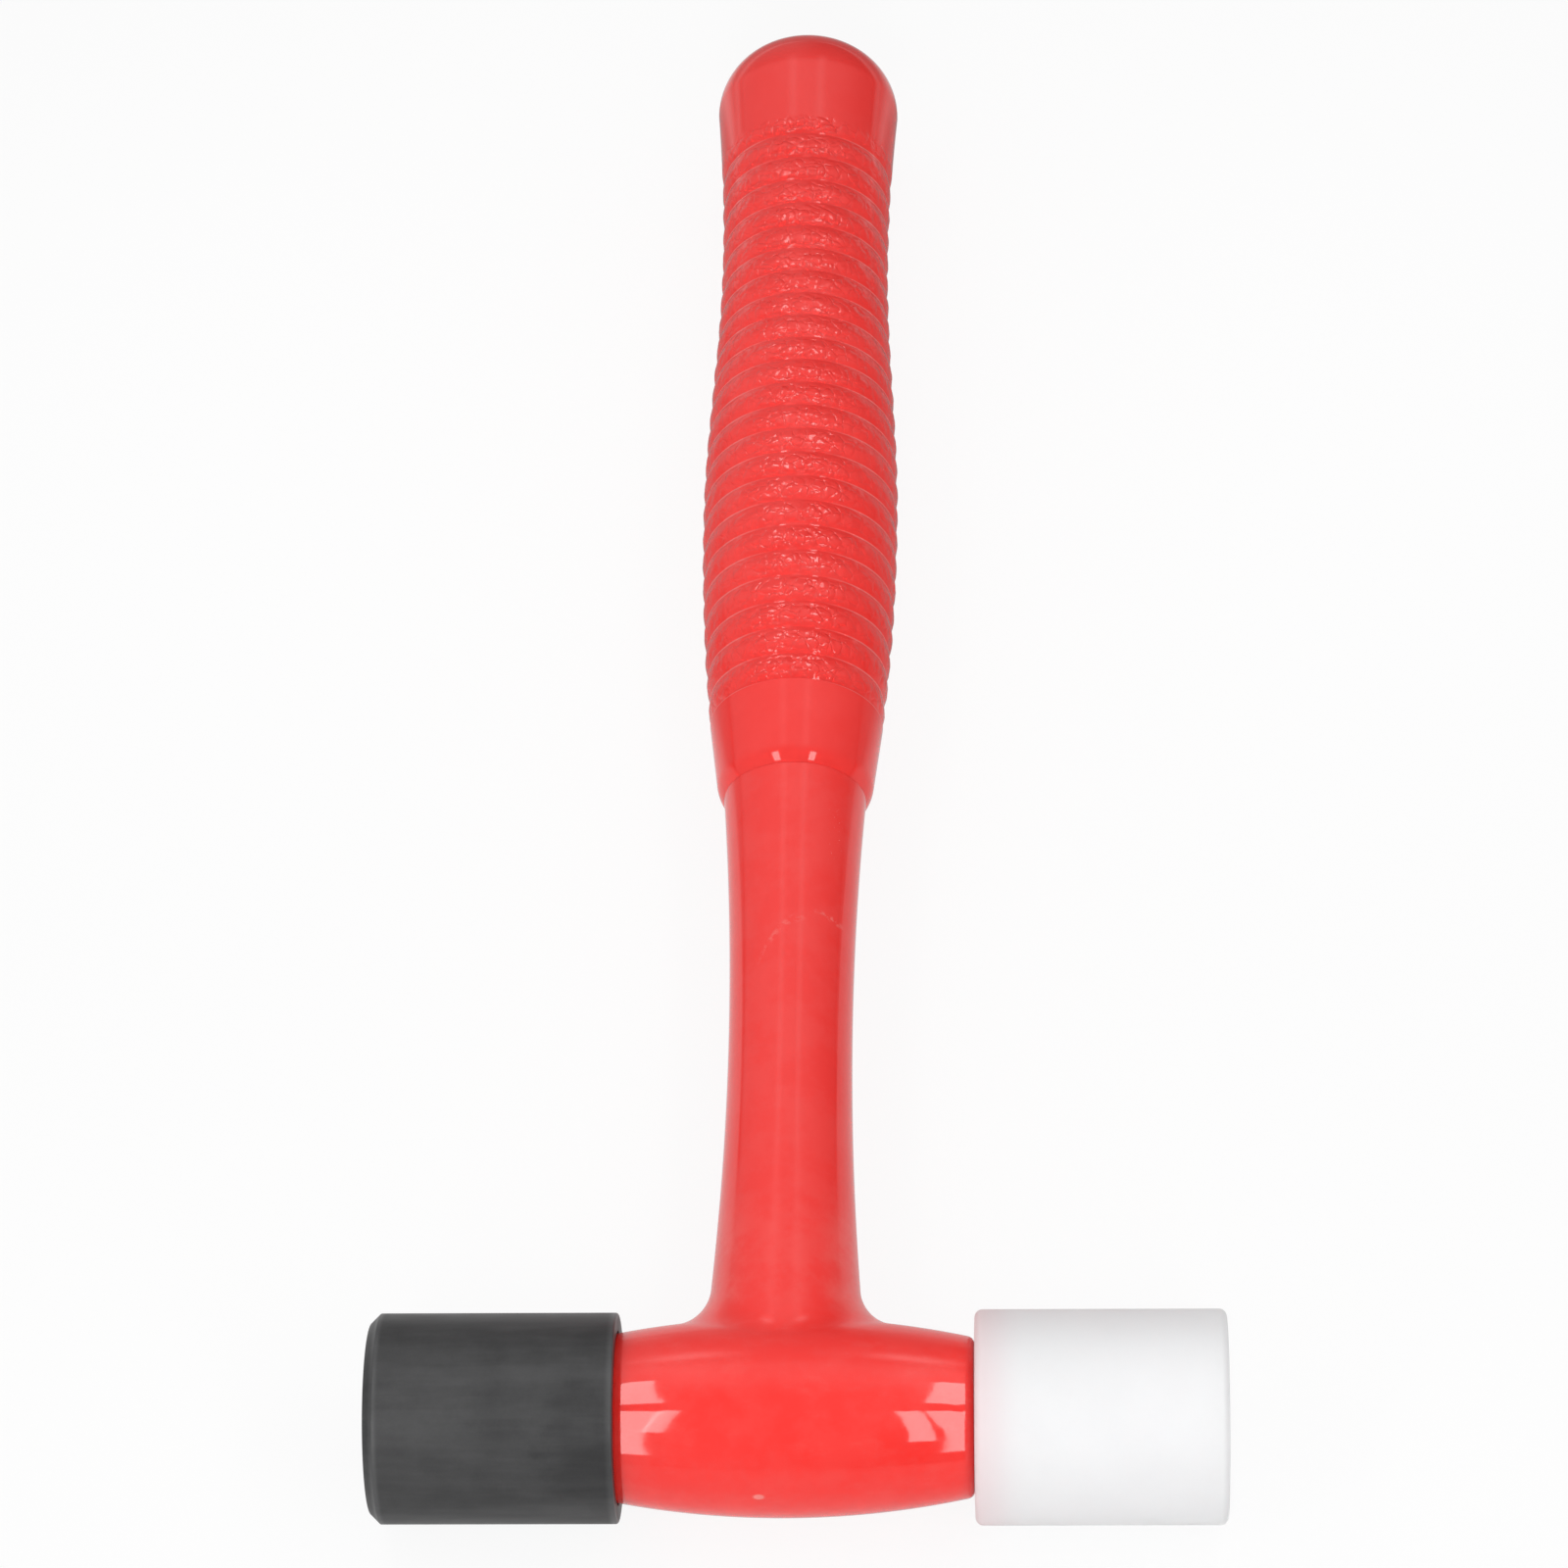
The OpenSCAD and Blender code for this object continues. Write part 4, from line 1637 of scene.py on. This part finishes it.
@dataclass(frozen=True)
class PaleFloor(Finish):
    """White paper that the hammer lies on, which keeps a soft shadow."""

    paper: Colour = (0.90, 0.90, 0.90, 1.0)
    glow: float = 0.90
    left_shine: float = 0.84
    left_fall: float = 0.34
    right_shine: float = 0.66
    right_fall: float = 0.42
    behind_dim: float = 0.6
    front_dim: float = 0.2
    grip_dim: float = 0.55

    def mirrored(self, sheet: NodeSheet) -> Value:
        """Gives the brightness at which gloss mirrors the paper: a painted reflection that falls off away
        from the hammer, with painted shade behind the butt, in front of the head and beside the grip.

        Args:
            sheet: The material's tree.

        Returns:
            The brightness.
        """
        across, along, _ = self.from_crossing(sheet, self.place(sheet))
        away = abs(across).eased(30.0, 420.0)
        left = self.left_shine - away * self.left_fall
        right = self.right_shine - away * self.right_fall
        side = left + (right - left) * across.eased(-50.0, 50.0)
        # Painted shadow of the butt on the floor, seen only in reflections.
        behind = along.eased(260.0, 295.0) * abs(across).eased(140.0, 40.0)
        # Painted shade in front of the head and beside the grip, seen only in reflections.
        in_front = along.eased(5.0, -25.0)
        by_grip = along.eased(120.0, 140.0) * along.eased(262.0, 248.0)
        return side * (1 - behind * self.behind_dim - in_front * self.front_dim - by_grip * self.grip_dim)

    def surface(self, sheet: NodeSheet) -> Socket:
        """Builds the shader.

        Args:
            sheet: The material's tree.

        Returns:
            The shader's output.
        """
        path = sheet.node("ShaderNodeLightPath")
        glossy = sheet.out(path, "Is Glossy Ray")
        seen = sheet.math("MAXIMUM", sheet.out(path, "Is Camera Ray"), glossy)
        seen = sheet.math("MAXIMUM", seen, sheet.out(path, "Is Transmission Ray"))
        paper = sheet.node("ShaderNodeBsdfDiffuse", {}, {"Color": self.paper})
        # Gloss sees the floor at the painted brightness of mirrored, not at its lit brightness.
        shine = sheet.blend(glossy, WHITE, self.mirrored(sheet))
        lit = sheet.node("ShaderNodeEmission", {}, {"Color": shine, "Strength": 1.0})
        mixed = sheet.node(
            "ShaderNodeMixShader", {}, {0: seen * self.glow, 1: paper.outputs[0], 2: lit.outputs[0]}
        )
        return mixed.outputs[0]


def pose_matrix(right: np.ndarray, up: np.ndarray, back: np.ndarray, place_mm: np.ndarray) -> Matrix:
    """Makes the matrix of a lamp or camera.

    Args:
        right: Direction of its own x axis.
        up: Direction of its own y axis.
        back: Direction that it turns its back to.
        place_mm: Its place, measured from the crossing.

    Returns:
        The matrix in the row frame.
    """
    place = (place_mm + CROSSING) * MM
    rows = [(right[i], up[i], back[i], place[i]) for i in range(3)]
    return Matrix(rows + [(0.0, 0.0, 0.0, 1.0)])


@dataclass(frozen=True)
class Softbox:
    """One lamp panel, given by the ends of its middle line, in millimetres from the crossing."""

    name: str
    start: Triple
    end: Triple
    width: float
    radiance: float
    aim: Triple
    spread_deg: float = 180.0

    def gain(self) -> float:
        """How much brighter a narrow spread makes the panel along its middle at the same power."""
        half = math.radians(self.spread_deg / 2)
        return 1.0 if self.spread_deg >= 180 else math.tan(half) / (math.tan(half) - half)

    def build(self) -> None:
        """Adds the panel."""
        first, last = np.array(self.start), np.array(self.end)
        middle = (first + last) / 2
        along = unit(last - first)
        away = middle - np.array(self.aim)
        back = unit(away - (away @ along) * along)
        lamp = bpy.data.lights.new(self.name, "AREA")
        lamp.shape = "RECTANGLE"
        lamp.size = self.width * MM
        lamp.size_y = float(np.linalg.norm(last - first)) * MM
        lamp.spread = math.radians(self.spread_deg)
        lamp.energy = self.radiance * math.pi * lamp.size * lamp.size_y / self.gain()
        holder = bpy.data.objects.new(self.name, lamp)
        holder.matrix_world = pose_matrix(np.cross(along, back), along, back, middle)
        holder.visible_camera = False
        bpy.context.scene.collection.objects.link(holder)


@dataclass
class Studio:
    """The floor, the lamps, the pale surroundings and the camera."""

    azimuth_deg: float = 4.048
    elevation_deg: float = 55.757
    roll_deg: float = -3.728
    distance_mm: float = 943.40
    aim_along_mm: float = 100.0
    slide_right_mm: float = -1.602
    slide_up_mm: float = 5.705
    focal_px: float = 6487.37
    floor_half_m: float = 20.0
    front_sky: float = 0.53
    rear_sky: float = 0.86
    left_sky: float = 0.59
    right_sky: float = 0.31
    left_height: float = 0.8
    left_power: float = 1.2
    right_height: float = 0.85
    right_power: float = 1.6
    strip_radiance: float = 3.8
    rear_radiance: float = 10.0
    fill_radiance: float = 75.0
    streak_glow: float = 0.26
    far_dim: float = 0.28

    def build_floor(self) -> None:
        """Adds the floor."""
        half = self.floor_half_m
        mesh = bpy.data.meshes.new("floor")
        corners = [(-half, -half, 0), (half, -half, 0), (half, half, 0), (-half, half, 0)]
        mesh.from_pydata(corners, [], [(0, 1, 2, 3)])
        floor = add_piece("floor", mesh)
        wear(floor, PaleFloor())

    def build_world(self) -> None:
        """Makes the sky: pale overhead, brighter at the back, dimmer on the right, white to the camera."""
        world = bpy.data.worlds.new("studio")
        world.use_nodes = True
        world.node_tree.nodes.clear()
        sheet = NodeSheet(world.node_tree)
        across, along, up = sheet.split(sheet.node("ShaderNodeTexCoord").outputs["Generated"])
        height = sheet.math("MAXIMUM", up, 0.0)
        rear = along.eased(-0.1, 0.55)
        middle = self.front_sky + rear * (self.rear_sky - self.front_sky)
        left = self.left_sky + (middle - self.left_sky) * (height / self.left_height) ** self.left_power
        right = self.right_sky + (middle - self.right_sky) * (height / self.right_height) ** self.right_power
        glow = abs(abs(across) - 0.25).eased(0.13, 0.0) * up.eased(0.5, 0.7) * rear * self.streak_glow
        far = 1 - along.eased(0.57, 0.70) * self.far_dim
        sky = (left + (right - left) * across.eased(-0.2, 0.2)) * far + glow
        seen = sheet.out(sheet.node("ShaderNodeLightPath"), "Is Camera Ray")
        colour = sheet.blend(seen, sky, WHITE)
        shade = sheet.node("ShaderNodeBackground", {}, {"Color": colour, "Strength": 1.0})
        sheet.node("ShaderNodeOutputWorld", {}, {"Surface": shade.outputs[0]})
        bpy.context.scene.world = world

    def build_lamps(self) -> None:
        """Adds an arch of strips on each side of the handle, a lamp behind it, and a fill for the grip."""
        strip, rear = self.strip_radiance, self.rear_radiance
        grip, butt = (0.0, 165.0, 15.0), (0.0, 240.0, 15.0)
        panels = [
            Softbox("left_flap", (-84, -80, 226), (-88, -155, 149), 14, strip, (-15.0, 30.0, 0.0)),
            Softbox("right_flap", (77, -84, 222), (80, -190, 113), 17, strip, (15.0, 30.0, 0.0)),
            Softbox("grip_fill", (-150, -390, 435), (150, -390, 435), 40, self.fill_radiance, butt, 20.0),
        ]
        for word, sign in (("left", -1), ("right", 1)):
            aim = (sign * 15.0, 30.0, 0.0)
            panels += [
                Softbox(f"{word}_top", (sign * 108, -42, 230), (sign * 112, 84, 230), 40, strip, aim),
                Softbox(f"{word}_front", (sign * 110, -80, 226), (sign * 120, -246, 56), 40, strip, aim),
                Softbox(f"{word}_rear", (sign * 66, 305, 230), (sign * 132, 305, 230), 62, rear, grip, 56.0),
            ]
        for panel in panels:
            panel.build()

    def build_camera(self) -> None:
        """Adds the camera where the photograph was taken from."""
        azimuth, elevation, roll = map(math.radians, (self.azimuth_deg, self.elevation_deg, self.roll_deg))
        flat = math.cos(elevation)
        back = np.array((math.sin(azimuth) * flat, -math.cos(azimuth) * flat, math.sin(elevation)))
        level = np.array((math.cos(azimuth), math.sin(azimuth), 0.0))
        upright = np.cross(back, level)
        right = math.cos(roll) * level + math.sin(roll) * upright
        up = -math.sin(roll) * level + math.cos(roll) * upright
        place = np.array((0.0, self.aim_along_mm, 0.0)) + back * self.distance_mm
        place = place + right * self.slide_right_mm + up * self.slide_up_mm
        camera = bpy.data.cameras.new("photo_camera")
        camera.sensor_width = SENSOR_MM
        camera.lens = self.focal_px / PHOTO_PX * SENSOR_MM
        holder = bpy.data.objects.new("photo_camera", camera)
        holder.matrix_world = pose_matrix(right, up, back, place)
        bpy.context.scene.collection.objects.link(holder)
        bpy.context.scene.camera = holder

    def build(self) -> None:
        """Sets up the whole studio."""
        self.build_floor()
        self.build_world()
        self.build_lamps()
        self.build_camera()
        bpy.context.scene.view_settings.view_transform = "Standard"
        LOG.info("studio set up")


def main() -> None:
    """Builds the hammer piece by piece, then the studio round it."""
    logging.basicConfig(level=logging.INFO, format="%(name)s: %(message)s")
    body = MouldedBody()
    body.build()
    RibbedGrip().build()
    hard_face = StrikingFace(
        Side.HARD,
        radius=15.0,
        length=35.1,
        finish=MattNylon(),
        slot="white_nylon",
        front_round=1.1,
        back_round=1.1,
    )
    skirt_len, skirt_play = 3.7, 0.3
    soft_face = StrikingFace(
        Side.SOFT,
        radius=14.7,
        length=34.6,
        finish=SatinRubber(),
        slot="black_rubber",
        front_bevel=1.4,
        skirt_len=skirt_len,
        skirt_r=body.barrel_r(body.barrel_end - skirt_len) + skirt_play,
    )
    hard_face.build()
    soft_face.build()
    SteelInsert().build()
    Studio().build()


if __name__ == "__main__":
    main()
